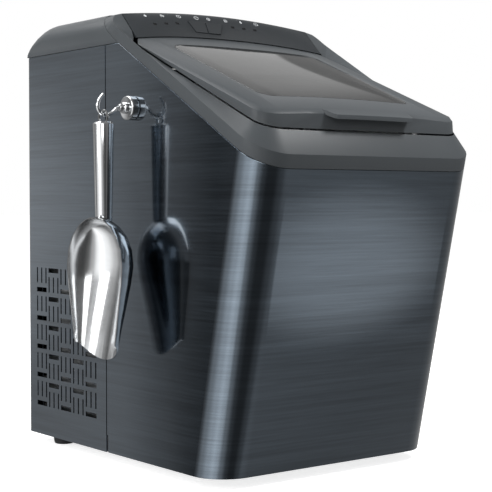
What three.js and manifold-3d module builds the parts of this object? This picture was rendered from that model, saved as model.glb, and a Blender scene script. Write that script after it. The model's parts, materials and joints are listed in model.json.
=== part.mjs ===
// A countertop bullet-ice maker: a folded steel cabinet with a moulded rear cap, a sloping top frame,
// a hinged lid with a smoked window, the ice-making parts inside, and a scoop on a magnetic side hook.
// Millimetres. x runs across the cabinet from its middle, y runs back from the front (the back sheet is
// at y = 0, so the front is negative), and z runs up from the floor. The last lines shift the whole
// model so that its origin is the middle of its footprint.
import * as THREE from "three";
import { mergeVertices } from "three/addons/utils/BufferGeometryUtils.js";
import Module from "manifold-3d";

const wasm = await Module();
wasm.setup();

// ---- driving dimensions ------------------------------------------------------------------------
const cabinetWidth = 228;
const cabinetDepth = 285; // back sheet to front sheet, at the foot of the cabinet
const frontLean = 0.219; // the front sheet moves forward by this much per millimetre of height
const cornerRadius = 29; // the two front vertical corners
const footHeight = 8.5;
const rearHeight = 338; // height of the side sheets above the feet
const seamDepth = 133.4; // back sheet to the upright seam between the front wrap and a side sheet
const sheet = 1; // steel sheet thickness
const gap = 0.3; // between pieces that rest on or meet each other
const halfWidth = cabinetWidth / 2;

const roofRise = 26.5; // roof edge above the side sheets
const roofCrown = 6.5; // roof middle above the roof edge
const shoulder = 14; // radius between a side and the roof
const rearCornerDepth = 40; // the cap's rear corner, front to back
const mouldWall = 2.4; // wall of the moulded covers

const bezelAngle = 29.9 * Math.PI / 180; // slope of the top frame's lower edge
const bezelPeak = 152.9; // back sheet to where that slope starts, at the top of the side sheets
const bezelBand = 10; // width of the frame's outer band
const bezelBendDepth = 146; // back sheet to where the band starts to bend up to the roof
const bezelBend = 60; // radius of that bend
const rimInset = 10; // lid opening, in from the cabinet's side
const rimSlope = 0.45; // slope of the lid opening's rim
const rimDrop = 8; // rim below the frame's crease at the rear

const lidGap = 0.9; // between the lid and the frame or the hood
const lidSlope = 0.4;
const lidRise = 3.3; // lid's upper edge above the rim, at the rear
const lidCrown = 3.5;
const lidBevel = 4.5; // the lid's top is smaller than its skirt by this much all round
const lidWall = 2.6;
const lidFrontInset = 11; // lid skirt behind the frame's front crease
const hoodDepth = 150; // back sheet to the middle of the hood's lower edge, where the lid starts
const hoodArch = 8; // the ends of that edge lie this much further forward

const windowHalfWidth = halfWidth - 36;
const windowRear = 172;
const windowFront = cabinetDepth + 12;
const windowCorner = 13;
const windowLedge = 3;
const windowThickness = 2;

// ---- small tools -------------------------------------------------------------------------------
// A closed three.js geometry as a solid that can be joined and cut.
function solid(geometry) {
  const bare = geometry.clone();
  bare.deleteAttribute("normal");
  bare.deleteAttribute("uv");
  const merged = mergeVertices(bare, 1e-4);
  return new wasm.Manifold(new wasm.Mesh({
    numProp: 3,
    vertProperties: new Float32Array(merged.attributes.position.array),
    triVerts: new Uint32Array(merged.index.array),
  }));
}

function toGeometry(body) {
  const mesh = body.getMesh();
  const geometry = new THREE.BufferGeometry();
  geometry.setAttribute("position", new THREE.BufferAttribute(new Float32Array(mesh.vertProperties), 3));
  geometry.setIndex(new THREE.BufferAttribute(new Uint32Array(mesh.triVerts), 1));
  geometry.computeVertexNormals();
  return geometry;
}

function outline(points, holes = []) {
  const shape = new THREE.Shape(points.map(([u, v]) => new THREE.Vector2(u, v)));
  holes.forEach((hole) => shape.holes.push(new THREE.Path(hole.map(([u, v]) => new THREE.Vector2(u, v)))));
  return shape;
}

// Straight bars with a drawn section: along x the section is (y, z), along y it is (x, z), along z (x, y).
function barX(section, x0, x1, holes) {
  const bar = new THREE.ExtrudeGeometry(outline(section, holes), { depth: x1 - x0, bevelEnabled: false });
  const turn = new THREE.Matrix4().set(0, 0, 1, x0, 1, 0, 0, 0, 0, 1, 0, 0, 0, 0, 0, 1);
  return solid(bar.applyMatrix4(turn));
}

function barY(section, y0, y1, holes) {
  const bar = new THREE.ExtrudeGeometry(outline(section, holes), { depth: y1 - y0, bevelEnabled: false });
  return solid(bar.rotateX(Math.PI / 2).translate(0, y1, 0));
}

function barZ(section, z0, z1, holes) {
  const bar = new THREE.ExtrudeGeometry(outline(section, holes), { depth: z1 - z0, bevelEnabled: false });
  return solid(bar.translate(0, 0, z0));
}

function block(x0, x1, y0, y1, z0, z1) {
  const box = new THREE.BoxGeometry(x1 - x0, y1 - y0, z1 - z0);
  return solid(box.translate((x0 + x1) / 2, (y0 + y1) / 2, (z0 + z1) / 2));
}

// A turned piece: profile points are (radius, height); the axis runs from `from` towards `along`.
function turned(profile, from, along = [0, 0, 1], sides = 24) {
  const lathe = new THREE.LatheGeometry(profile.map(([r, h]) => new THREE.Vector2(r, h)), sides);
  const turn = new THREE.Quaternion().setFromUnitVectors(
    new THREE.Vector3(0, 1, 0), new THREE.Vector3(...along).normalize());
  return solid(lathe.applyQuaternion(turn).translate(...from));
}

function rod(radius, from, to, sides = 16) {
  const start = new THREE.Vector3(...from);
  const way = new THREE.Vector3(...to).sub(start);
  const length = way.length();
  return turned([[0, 0], [radius, 0], [radius, length], [0, length]], from, way.toArray(), sides);
}

// A round bar along a smooth curve through the given points.
function bentRod(radius, points, steps, sides = 10) {
  const path = new THREE.CatmullRomCurve3(points.map((p) => new THREE.Vector3(...p)), false, "centripetal");
  return solid(new THREE.ExtrudeGeometry(outline(arc(0, 0, radius, 0, 2 * Math.PI, sides).slice(0, -1)), {
    steps, extrudePath: path, bevelEnabled: false,
  }));
}

function ring(radius, wire, centre, axis, around = 28, sides = 8) {
  const torus = new THREE.TorusGeometry(radius, wire, sides, around);
  const turn = new THREE.Quaternion().setFromUnitVectors(
    new THREE.Vector3(0, 0, 1), new THREE.Vector3(...axis).normalize());
  return solid(torus.applyQuaternion(turn).translate(...centre));
}

// Points on an arc, both ends included.
function arc(u, v, radius, start, end, steps) {
  return Array.from({ length: steps + 1 }, (_, i) => {
    const angle = start + (end - start) * i / steps;
    return [u + radius * Math.cos(angle), v + radius * Math.sin(angle)];
  });
}

function roundedBox(u0, u1, v0, v1, radius, steps = 4) {
  const quarter = Math.PI / 2;
  return [
    ...arc(u0 + radius, v0 + radius, radius, 2 * quarter, 3 * quarter, steps),
    ...arc(u1 - radius, v0 + radius, radius, 3 * quarter, 4 * quarter, steps),
    ...arc(u1 - radius, v1 - radius, radius, 0, quarter, steps),
    ...arc(u0 + radius, v1 - radius, radius, quarter, 2 * quarter, steps),
  ];
}

function mix(a, b, t) {
  return a + (b - a) * t;
}

function mixPoint(a, b, t) {
  return a.map((value, i) => mix(value, b[i], t));
}

function along(count, make) {
  return Array.from({ length: count + 1 }, (_, i) => make(i / count));
}

// Triangles turned so that the closed surface they make faces out.
function closedSurface(points, triangles) {
  const [a, b, c] = [new THREE.Vector3(), new THREE.Vector3(), new THREE.Vector3()];
  const volume = triangles.reduce((sum, [i, j, k]) => sum
    + a.set(...points[i]).dot(b.set(...points[j]).cross(c.set(...points[k]))), 0);
  const facing = volume < 0 ? triangles.map(([i, j, k]) => [i, k, j]) : triangles;
  const geometry = new THREE.BufferGeometry();
  geometry.setAttribute("position", new THREE.Float32BufferAttribute(points.flat(), 3));
  geometry.setIndex(facing.flat());
  return solid(geometry);
}

// Two triangles for each cell of a grid of rings; the last ring joins the first when it is a loop.
function wrapRings(rings, loop) {
  const count = rings[0].length;
  const spans = loop ? rings.length : rings.length - 1;
  const triangles = [];
  for (let i = 0; i < spans; i += 1) {
    for (let j = 0; j < count; j += 1) {
      const here = i * count;
      const next = ((i + 1) % rings.length) * count;
      const k = (j + 1) % count;
      triangles.push([here + j, next + j, next + k], [here + j, next + k, here + k]);
    }
  }
  return triangles;
}

// A skin over a row of like rings, closed by a flat face on the first and the last. `flat` names the
// two coordinates that the end faces are drawn in.
function loft(rings, flat) {
  const count = rings[0].length;
  const cap = (ring2) => THREE.ShapeUtils.triangulateShape(
    ring2.map((p) => new THREE.Vector2(p[flat[0]], p[flat[1]])), []);
  const last = (rings.length - 1) * count;
  const triangles = [
    ...wrapRings(rings, false),
    ...cap(rings[0]).map(([i, j, k]) => [i, j, k]),
    ...cap(rings[rings.length - 1]).map(([i, j, k]) => [last + i, last + k, last + j]),
  ];
  return closedSurface(rings.flat(), orientEnds(triangles, rings, cap));
}

// The end faces may be drawn either way round: they are turned to match the skin between them.
function orientEnds(triangles, rings, cap) {
  const count = rings[0].length;
  const ends = cap(rings[0]).length;
  const skin = triangles.slice(0, triangles.length - 2 * ends);
  const used = new Set(skin.map(([i, j]) => `${i},${j}`).concat(
    skin.map(([, j, k]) => `${j},${k}`), skin.map(([i, , k]) => `${k},${i}`)));
  const face = (list) => {
    const clash = list.some(([i, j, k]) => [[i, j], [j, k], [k, i]].some(([p, q]) => used.has(`${p},${q}`)));
    return clash ? list.map(([i, j, k]) => [i, k, j]) : list;
  };
  const first = triangles.slice(skin.length, skin.length + ends);
  const final = triangles.slice(skin.length + ends);
  return count > 2 ? [...skin, ...face(first), ...face(final)] : skin;
}

// A closed hoop: a section carried round a loop back to where it started.
function hoop(sections) {
  return closedSurface(sections.flat(), wrapRings(sections, true));
}

function mirrored(points) {
  return points.map(([x, y, z]) => [-x, y, z]);
}

// ---- finishes ----------------------------------------------------------------------------------
function finish(color, roughness, metalness, opacity = 1) {
  return new THREE.MeshStandardMaterial({ color, roughness, metalness, opacity, transparent: opacity < 1 });
}
const darkSteel = () => finish(0x4c545d, 0.35, 1);
const greyMould = () => finish(0x54595c, 0.5, 0);
const panelMould = () => finish(0x434749, 0.55, 0);
const smokedGlass = () => finish(0x8a8d8d, 0.1, 0, 0.4);
const chrome = () => finish(0xd6d8da, 0.12, 1);
const galvanised = () => finish(0x8b8f92, 0.5, 1);
const blackPlastic = () => finish(0x1d1f21, 0.6, 0);
const whitePlastic = () => finish(0xd9dcdc, 0.5, 0);
const clearPlastic = () => finish(0xc6d3da, 0.25, 0, 0.6);
const rubber = () => finish(0x2b2c2e, 0.85, 0);
const copper = () => finish(0xb87347, 0.35, 1);
const greenBoard = () => finish(0x1f5a3c, 0.6, 0);

const model = new THREE.Group();

function addPart(name, body, material, parent = model) {
  const mesh = new THREE.Mesh(toGeometry(body), material);
  mesh.name = name;
  parent.add(mesh);
  return mesh;
}

// ---- the cabinet's shape -----------------------------------------------------------------------
const sideTop = footHeight + rearHeight;
const roofEdge = sideTop + roofRise;
const shoulderStart = roofEdge - shoulder;

function roofHeight(x) {
  const flatHalf = halfWidth - shoulder;
  const out = Math.max(0, Math.abs(x) - flatHalf);
  const drop = shoulder - Math.sqrt(Math.max(0, shoulder * shoulder - out * out));
  const across = Math.min(1, Math.abs(x) / flatHalf);
  return roofEdge + roofCrown * (1 - across * across) - drop;
}

// Where a point on the front sheet or its corners moves to at height z.
function lean([x, y], z) {
  const front = y <= -cabinetDepth + cornerRadius + 1e-6;
  return [x, front ? y - frontLean * (z - footHeight) : y, z];
}

// The cabinet's plan outline at foot level, from the left side round the front to the right side.
function frontOutline(inset, rear, steps = 8) {
  const radius = cornerRadius - inset;
  const corner = halfWidth - cornerRadius;
  return [
    [-halfWidth + inset, -rear],
    ...arc(-corner, -cabinetDepth + cornerRadius, radius, Math.PI, 1.5 * Math.PI, steps),
    ...arc(corner, -cabinetDepth + cornerRadius, radius, 1.5 * Math.PI, 2 * Math.PI, steps),
    [halfWidth - inset, -rear],
  ];
}

function leaningBar(points, z0, z1) {
  return loft([z0, z1].map((z) => points.map((p) => lean(p, z))), [0, 1]);
}

// The frame's lower edge in side view: a straight slope that bends up to the roof. A positive offset
// moves the line up and forward, square to itself.
const slopeRun = Math.tan(bezelAngle);
const bendZ = sideTop + slopeRun * (bezelPeak - bezelBendDepth);
const bendCentre = [
  -bezelBendDepth - bezelBend * Math.sin(bezelAngle),
  bendZ + bezelBend * Math.cos(bezelAngle),
];

function edgeHeight(y, offset) {
  return sideTop + slopeRun * (y + bezelPeak) + offset / Math.cos(bezelAngle);
}

function edgeDepth(z, offset) {
  const radius = bezelBend - offset;
  const straightEnd = bendCentre[1] - radius * Math.cos(bezelAngle);
  if (z <= straightEnd) {
    return (z - sideTop - offset / Math.cos(bezelAngle)) / slopeRun - bezelPeak;
  }
  const fall = Math.min(radius, bendCentre[1] - z);
  return bendCentre[0] + Math.sqrt(radius * radius - fall * fall);
}

function aboveEdge(offset) {
  const far = cabinetDepth + 2 * bezelPeak;
  const rise = along(8, (t) => {
    const z = mix(sideTop, roofEdge + 2 * roofCrown, t);
    return [edgeDepth(z, offset), z];
  });
  const top = roofEdge + 4 * roofCrown;
  return [[-far, edgeHeight(-far, offset)], ...rise, [rise[8][0], top], [-far, top]];
}

// The rim of the lid opening, a plane a little flatter than the frame's lower edge.
const rimRear = edgeHeight(-bezelPeak - bezelBand, bezelBand) - rimDrop;

function rimHeight(y) {
  return rimRear + rimSlope * (y + bezelPeak + bezelBand);
}

// The hood's lower edge in plan.
function hoodLine(x) {
  return -hoodDepth - hoodArch * (x / (halfWidth - shoulder)) ** 2;
}

function lidTop(x, y) {
  const across = Math.min(1, Math.abs(x) / (halfWidth - rimInset));
  const rear = rimHeight(hoodLine(halfWidth - shoulder)) + lidRise;
  return rear + lidSlope * (y - hoodLine(halfWidth - shoulder)) + lidCrown * (1 - across ** 2.5);
}

// ---- cabinet sheets ----------------------------------------------------------------------------
function frontWrap() {
  const rear = seamDepth + seamHalf + gap;
  const section = [...frontOutline(0, rear), ...frontOutline(sheet, rear).reverse()];
  const wall = leaningBar(section, footHeight, sideTop - gap);
  return wall.subtract(barX(aboveEdge(-gap), -cabinetWidth, cabinetWidth));
}

const seamHalf = 1.1; // half the width of the filler strip in the upright seam
const seamSink = 0.4; // the strip sits this far below the sheets

function seamStrip(side) {
  const outer = side * (halfWidth - seamSink);
  const inner = side * (halfWidth - seamSink - sheet);
  const span = [Math.min(outer, inner), Math.max(outer, inner)];
  const base = footHeight + baseHeight + gap;
  return block(...span, -seamDepth - seamHalf, -seamDepth + seamHalf, base, sideTop - gap);
}

// A grille of upright slots and cross bars, in staggered columns.
const grilleColumns = 5;
const grillePitch = 20.9;
const grilleFirst = 24.4; // back sheet to the middle of the first column
const grilleBase = 26; // above the feet
const grilleRows = 5;
const grillePeriod = 25.5;
const slotHeight = 13.7;
const slotWidth = 2;
const crossHeight = 4.1;
const crossWidth = 17.4;
const grilleBridge = 3.9;

function grilleSlots(columns, first, across) {
  const slots = [];
  for (let column = 0; column < columns; column += 1) {
    const middle = first - column * grillePitch;
    for (let row = 0; row < grilleRows; row += 1) {
      const base = footHeight + grilleBase + row * grillePeriod;
      const crossFirst = column % 2 === 0;
      const cross = crossFirst ? base : base + slotHeight + grilleBridge;
      const upright = crossFirst ? base + crossHeight + grilleBridge : base;
      slots.push(across(middle - crossWidth / 2, middle + crossWidth / 2, cross, cross + crossHeight));
      for (const step of [-1, 0, 1]) {
        const centre = middle + step * (crossWidth - slotWidth) / 2;
        slots.push(across(centre - slotWidth / 2, centre + slotWidth / 2, upright, upright + slotHeight));
      }
    }
  }
  return slots;
}

const sideFlange = 14;
const sideFold = 4; // outside radius where a side sheet folds to the back

function sideSheet(side) {
  const face = halfWidth;
  const front = -seamDepth + seamHalf + gap;
  const outer = [[face, front], ...arc(face - sideFold, -sideFold, sideFold, 0, Math.PI / 2, 3),
    [face - sideFlange, 0]];
  const inner = [[face - sheet, front],
    ...arc(face - sideFold, -sideFold, sideFold - sheet, 0, Math.PI / 2, 3), [face - sideFlange, -sheet]];
  const section = [...outer, ...inner.reverse()].map(([x, y]) => [side * x, y]);
  const cuts = grilleSlots(grilleColumns, -grilleFirst, (y0, y1, z0, z1) => block(
    side * halfWidth - sheet - 1, side * halfWidth + sheet + 1, y0, y1, z0, z1));
  const wall = barZ(section, footHeight, sideTop - gap);
  return wall.subtract(wasm.Manifold.union(cuts));
}

// The back sheet, with exhaust slots, the power inlet and the drain.
const inletX = halfWidth - 52;
const inletZ = 52;
const inletHalf = [14, 11];
const drainX = -(halfWidth - 52);
const drainZ = 34;
const drainRadius = 11;
const backSlotRows = 9;
const backSlotPitch = 10;
const backSlotBase = 120;
const backSlotHalf = 22;
const backSlotRib = 24; // metal left between the two columns of slots
const backSlotHeight = 3.4;

function backSheet() {
  const edge = halfWidth - sideFlange - gap;
  const wall = block(-edge, edge, -sheet, 0, footHeight, sideTop - gap);
  const cuts = [
    barY(roundedBox(inletX - inletHalf[0], inletX + inletHalf[0],
      inletZ - inletHalf[1], inletZ + inletHalf[1], 2, 2), -2 * sheet, sheet),
    rod(drainRadius, [drainX, -2 * sheet, drainZ], [drainX, sheet, drainZ], 20),
  ];
  for (const side of [-1, 1]) {
    for (let row = 0; row < backSlotRows; row += 1) {
      const z = backSlotBase + row * backSlotPitch;
      const x = side * (backSlotHalf + backSlotRib / 2);
      cuts.push(block(x - backSlotHalf, x + backSlotHalf, -2 * sheet, sheet, z, z + backSlotHeight));
    }
  }
  return wall.subtract(wasm.Manifold.union(cuts));
}

const baseHeight = 14;
const baseFloor = 2.5;

// The whole plan outline at foot level, with the small folds at the rear corners.
function plan(inset) {
  const fold = arc(halfWidth - sideFold, -sideFold, sideFold - inset, 0, Math.PI / 2, 3);
  return [...frontOutline(inset, sideFold), ...fold, ...fold.map(([x, y]) => [-x, y]).reverse()];
}

function basePan() {
  const inset = sheet + gap;
  const outer = plan(inset);
  const inner = plan(inset + baseFloor);
  const tray = leaningBar(outer, footHeight + gap, footHeight + baseHeight);
  return tray.subtract(leaningBar(inner, footHeight + gap + baseFloor, footHeight + baseHeight + 1));
}

const footRadius = 10;
const rearFootInset = 17.5;
const rearFootDepth = 33;
const frontFootInset = 44;
const frontFootDepth = cabinetDepth - 49;

function foot(x, y) {
  const top = footHeight;
  return turned([[0, 0], [footRadius - 2, 0], [footRadius - 1, 1], [footRadius, top], [0, top]],
    [x, -y, 0], [0, 0, 1], 20);
}

// ---- moulded top -------------------------------------------------------------------------------
const capStations = [-1, 1].flatMap((side) => (side < 0
  ? [...arc(0, 0, 1, Math.PI, Math.PI / 2, 5).map(([c]) => c * shoulder - (halfWidth - shoulder)),
    ...along(12, (t) => mix(-(halfWidth - shoulder), halfWidth - shoulder, t)).slice(1)]
  : arc(0, 0, 1, Math.PI / 2, 0, 5).map(([c]) => c * shoulder + halfWidth - shoulder).slice(1)));

// One slice of the cap, front to back, at x.
function capSlice(x, inset, floor, offset) {
  const top = roofHeight(x) - inset;
  const depth = rearCornerDepth - inset;
  const corner = along(7, (t) => {
    const angle = t * Math.PI / 2;
    return [x, -inset - depth * (1 - Math.cos(angle)), floor + (top - floor) * Math.sin(angle)];
  });
  const front = along(6, (t) => {
    const z = mix(top, floor, t);
    return [x, edgeDepth(z, offset), z];
  });
  return [...corner, ...front];
}

const trim = 1; // the cap and the frame are drawn this far past the line that they are then cut along

function rearCap() {
  const floor = sideTop + gap / 2;
  const shell = loft(capStations.map((x) => capSlice(x, 0, floor, trim)), [1, 2]);
  const inside = capStations.map((x) => x * (halfWidth - mouldWall) / halfWidth);
  const hollow = loft(inside.map((x) => capSlice(x, mouldWall, floor - 1, 2 * trim)), [1, 2]);
  return shell.subtract(hollow).subtract(barX(aboveEdge(-gap), -cabinetWidth, cabinetWidth));
}

// The frame round the lid and the control panel, as a hoop. Each section is: outer edge below, outer
// crease above, rim of the opening, and the inner edge below.
function frameCornerPoint(angle, offset) {
  const forward = cornerRadius * (1 - Math.cos(angle));
  const start = sideTop + slopeRun * bezelPeak + offset / Math.cos(bezelAngle);
  const y = (-cabinetDepth - frontLean * (start - footHeight) + forward) / (1 + frontLean * slopeRun);
  return [-(halfWidth - cornerRadius) - cornerRadius * Math.sin(angle), y, edgeHeight(y, offset)];
}

function rimPoint(angle, inset, frontInset) {
  const crease = frameCornerPoint(angle, bezelBand);
  const back = frontInset * Math.cos(angle);
  const side = inset * Math.sin(angle);
  const y = crease[1] + back;
  return [crease[0] + side, y, rimHeight(y)];
}

function frameSection(lower, crease, rim) {
  const inner = [rim[0], rim[1], edgeHeight(rim[1], -trim)];
  return [lower, crease, rim, inner];
}

// The hood's front in side view, at x: it rolls over from the roof and falls to the lid. `inset` is how
// far the curve lies inside the hood's skin.
const hoodSteep = 9; // how far the hood's face bulges forward of a straight slope, in the middle

function hoodFront(x, t, inset) {
  const full = 1 - Math.min(1, Math.abs(x) / (halfWidth - shoulder)) ** 6;
  const top = roofHeight(x);
  const start = [edgeDepth(top, bezelBand) - gap, top - inset];
  const end = [hoodLine(x) + 1.2 * inset, lidTop(x, hoodLine(x)) + lidGap];
  const bulge = [mix((start[0] + end[0]) / 2, start[0] - hoodSteep, full) + 0.7 * inset,
    mix((start[1] + end[1]) / 2, start[1] - 0.1 * hoodSteep, full) - 0.3 * inset];
  return mixPoint(mixPoint(start, bulge, t), mixPoint(bulge, end, t), t);
}

const hoodHalf = halfWidth - shoulder - 2 * gap;

function topFrame() {
  const front = along(2, (t) => {
    const x = -(halfWidth - cornerRadius) * t;
    const at = (point) => [x, point[1], point[2]];
    return frameSection(at(frameCornerPoint(0, -trim)), at(frameCornerPoint(0, bezelBand)),
      at(rimPoint(0, rimInset, lidFrontInset - 1)));
  });
  const corner = along(8, (t) => {
    const angle = t * Math.PI / 2;
    return frameSection(frameCornerPoint(angle, -trim), frameCornerPoint(angle, bezelBand),
      rimPoint(angle, rimInset, lidFrontInset - 1));
  }).slice(1);
  const sideEnd = corner[corner.length - 1];
  const upperLow = [-halfWidth, -bezelBendDepth, edgeHeight(-bezelBendDepth, -trim)];
  const upperCrease = [-halfWidth, edgeDepth(bendZ + bezelBand * Math.cos(bezelAngle), bezelBand),
    bendZ + bezelBand * Math.cos(bezelAngle)];
  const upperRimY = hoodLine(halfWidth - shoulder) - 1;
  const upperRim = [-halfWidth + rimInset, upperRimY, rimHeight(upperRimY)];
  const upper = frameSection(upperLow, upperCrease, upperRim);
  const side = along(4, (t) => sideEnd.map((p, i) => mixPoint(p, upper[i], t))).slice(1, -1);
  const rise = along(7, (t) => {
    const low = mix(upperLow[2], roofEdge, t);
    const high = mix(upperCrease[2], roofEdge, t);
    const lowX = shoulderX(low);
    const face = hoodFront(halfWidth - shoulder, 1 - t, 0);
    const rim = [mix(upperRim[0], -halfWidth + shoulder, Math.min(1, 4 * t)),
      mix(upperRim[1], face[0] + gap, Math.min(1, 4 * t)), mix(upperRim[2], face[1], Math.min(1, 4 * t))];
    const depth = mix(rimInset, frameRoofWall, Math.min(1, 3 * t));
    const turnIn = Math.asin(Math.min(1, Math.max(0, (low - shoulderStart) / shoulder)));
    const inner = [lowX + depth * Math.cos(turnIn), edgeDepth(low, -trim), low - depth * Math.sin(turnIn)];
    return [[lowX, edgeDepth(low, -trim), low], [shoulderX(high), edgeDepth(high, bezelBand), high], rim, inner];
  });
  const roof = along(6, (t) => {
    const x = mix(-halfWidth + shoulder, 0, t);
    const z = roofHeight(x);
    return [[x, edgeDepth(z, -trim), z], [x, edgeDepth(z, bezelBand), z],
      [x, edgeDepth(z, bezelBand), z - frameRoofWall], [x, edgeDepth(z, -trim), z - frameRoofWall]];
  }).slice(1);
  const left = [...front, ...corner, ...side, ...rise, ...roof];
  const right = left.slice(1, -1).reverse().map(mirrored);
  return hoop([...left, ...right]).intersect(barX(aboveEdge(0), -cabinetWidth, cabinetWidth));
}

const frameRoofWall = 3;

function shoulderX(z) {
  const up = Math.max(0, z - shoulderStart);
  return -halfWidth + shoulder - Math.sqrt(Math.max(0, shoulder * shoulder - up * up));
}

// ---- control panel -----------------------------------------------------------------------------
const panelMiddle = -20; // the controls' middle, across the panel
const panelWall = 2.4;
const buttonRow = 0.76; // how far down the panel's face each row lies
const lightRow = 0.66;
const buttonHeight = 11;
const buttonTop = 36;
const buttonFoot = 26;
const buttonProud = 0.5;
const buttonTravel = 1.2;
const buttonPlay = 0.3;
const buttonFlange = 1;
const lightPitch = 12;
const lightOffset = 42; // from the controls' middle to the middle light of each side
const lightSize = [3.2, 1.8];
const boardDepth = 13;
const flangeTop = -panelWall - 2.4; // the flanges clear the curved underside of the panel
const flangeFoot = flangeTop - 1.8;

// A frame on the hood's face: its z axis stands out of the face and its x axis runs across.
function faceFrame(x, t) {
  const [y, z] = hoodFront(x, t, 0);
  const [y1, z1] = hoodFront(x, t + 0.05, 0);
  const up = new THREE.Vector3(0, y - y1, z - z1).normalize();
  const across = new THREE.Vector3(1, 0, 0);
  const out = across.clone().cross(up);
  return new THREE.Matrix4().makeBasis(across, up, out).setPosition(x, y, z);
}

function onFace(geometry, frame) {
  return solid(geometry.applyMatrix4(frame));
}

function faceBar(points, z0, z1, frame) {
  const bar = new THREE.ExtrudeGeometry(outline(points), { depth: z1 - z0, bevelEnabled: false });
  return onFace(bar.translate(0, 0, z0), frame);
}

const buttonFrame = faceFrame(panelMiddle, buttonRow);

// One half of the trapezoid plate that the two buttons make together.
function buttonHalf(side, grow) {
  const half = buttonHeight / 2 + grow;
  const near = side * (buttonPlay + 0.2 - grow);
  const far = side * (buttonTop / 2 + grow);
  const farFoot = side * (buttonFoot / 2 + grow);
  const points = [[near, -half], [farFoot, -half], [far, half], [near, half]];
  return side < 0 ? points.reverse() : points;
}

function pushButton(side) {
  const cap = faceBar(buttonHalf(side, 0), flangeTop - 0.5, buttonProud, buttonFrame);
  const stem = side < 0 ? -8 : 8;
  const flange = [[stem - 7, -buttonHeight / 2 - buttonFlange], [stem + 7, -buttonHeight / 2 - buttonFlange],
    [stem + 7, buttonHeight / 2 + buttonFlange], [stem - 7, buttonHeight / 2 + buttonFlange]];
  return cap.add(faceBar(flange, flangeFoot, flangeTop, buttonFrame));
}

function lightFrames(side) {
  return [-1, 0, 1].map((step) => faceFrame(panelMiddle + side * lightOffset + step * lightPitch, lightRow));
}

function lightPeg(frame, grow, top, foot) {
  const [w, h] = lightSize.map((size) => size / 2 + grow);
  return faceBar([[-w, -h], [w, -h], [w, h], [-w, h]], foot, top, frame);
}

function indicatorLights(side) {
  const half = lightPitch / 2 + 0.6;
  const pieces = lightFrames(side).flatMap((frame) => [
    lightPeg(frame, 0, -0.2, flangeTop - 0.5),
    faceBar([[-half, -2.5], [half, -2.5], [half, 2.5], [-half, 2.5]], flangeFoot, flangeTop, frame),
  ]);
  return wasm.Manifold.union(pieces);
}

function controlPanel() {
  const stations = along(18, (t) => mix(-hoodHalf, hoodHalf, t));
  const skin = loft(stations.map((x) => {
    const outer = along(8, (t) => [x, ...hoodFront(x, t, 0)]);
    const inner = along(8, (t) => [x, ...hoodFront(x, 1 - t, panelWall)]);
    return [...outer, ...inner];
  }), [1, 2]);
  const cuts = [-1, 1].flatMap((side) => [
    faceBar(buttonHalf(side, buttonPlay), -4 * panelWall, 2 * panelWall, buttonFrame),
    ...lightFrames(side).map((frame) => lightPeg(frame, 0.2, panelWall, -2.5 * panelWall)),
  ]);
  return skin.subtract(wasm.Manifold.union(cuts));
}

function controlBoard() {
  const half = [lightOffset + lightPitch + 8, 9.5];
  const top = -boardDepth;
  const board = faceBar([[-half[0], -half[1]], [half[0], -half[1]], [half[0], half[1]],
    [-half[0], half[1]]], top - 1.6, top, buttonFrame);
  const switches = [-8, 8].map((x) => faceBar(roundedBox(x - 3, x + 3, -3, 3, 1, 1), top - 0.5,
    flangeFoot - buttonTravel - 0.4, buttonFrame));
  return wasm.Manifold.union([board, ...switches]);
}

// ---- lid ---------------------------------------------------------------------------------------
const lidHalf = halfWidth - rimInset - lidGap;
const lidEdgeDrop = 2.2; // how far the bevel round the lid's top falls
const lipHalf = 41; // the finger lip at the front
const lipReach = 8;
const lipDepth = 3.4;
const lipSlant = 5;

function lidFrontAt(x, inset) {
  const flat = halfWidth - cornerRadius;
  const reach = cornerRadius - rimInset - lidGap - inset;
  const out = Math.min(reach, Math.max(0, Math.abs(x) - flat));
  const front = rimPoint(0, rimInset, lidFrontInset - 1)[1] + lidGap + inset;
  const side = rimPoint(Math.PI / 2, rimInset, lidFrontInset - 1)[1];
  return mix(front, side, 1 - Math.sqrt(Math.max(0, 1 - (out / reach) ** 2)));
}

// The lid's rear edge in plan: under the hood, with its corners cut back.
function lidRear(x) {
  return hoodLine(x) + lidTuck - 1.4 * Math.max(0, Math.abs(x) - hoodHalf + 2);
}

function lidStations(inset, bevel) {
  const flat = halfWidth - cornerRadius;
  const reach = lidHalf - inset - flat;
  const corner = along(7, (t) => flat + reach * Math.sin((1 - t) * Math.PI / 2));
  const bevelAt = lidHalf - inset - bevel;
  const outer = bevel > 0 ? [...corner, bevelAt].sort((a, b) => b - a) : corner;
  const middle = along(8, (t) => mix(flat, -flat, t)).slice(1, -1);
  return [...outer, ...middle, ...outer.map((x) => -x).reverse()];
}

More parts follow.
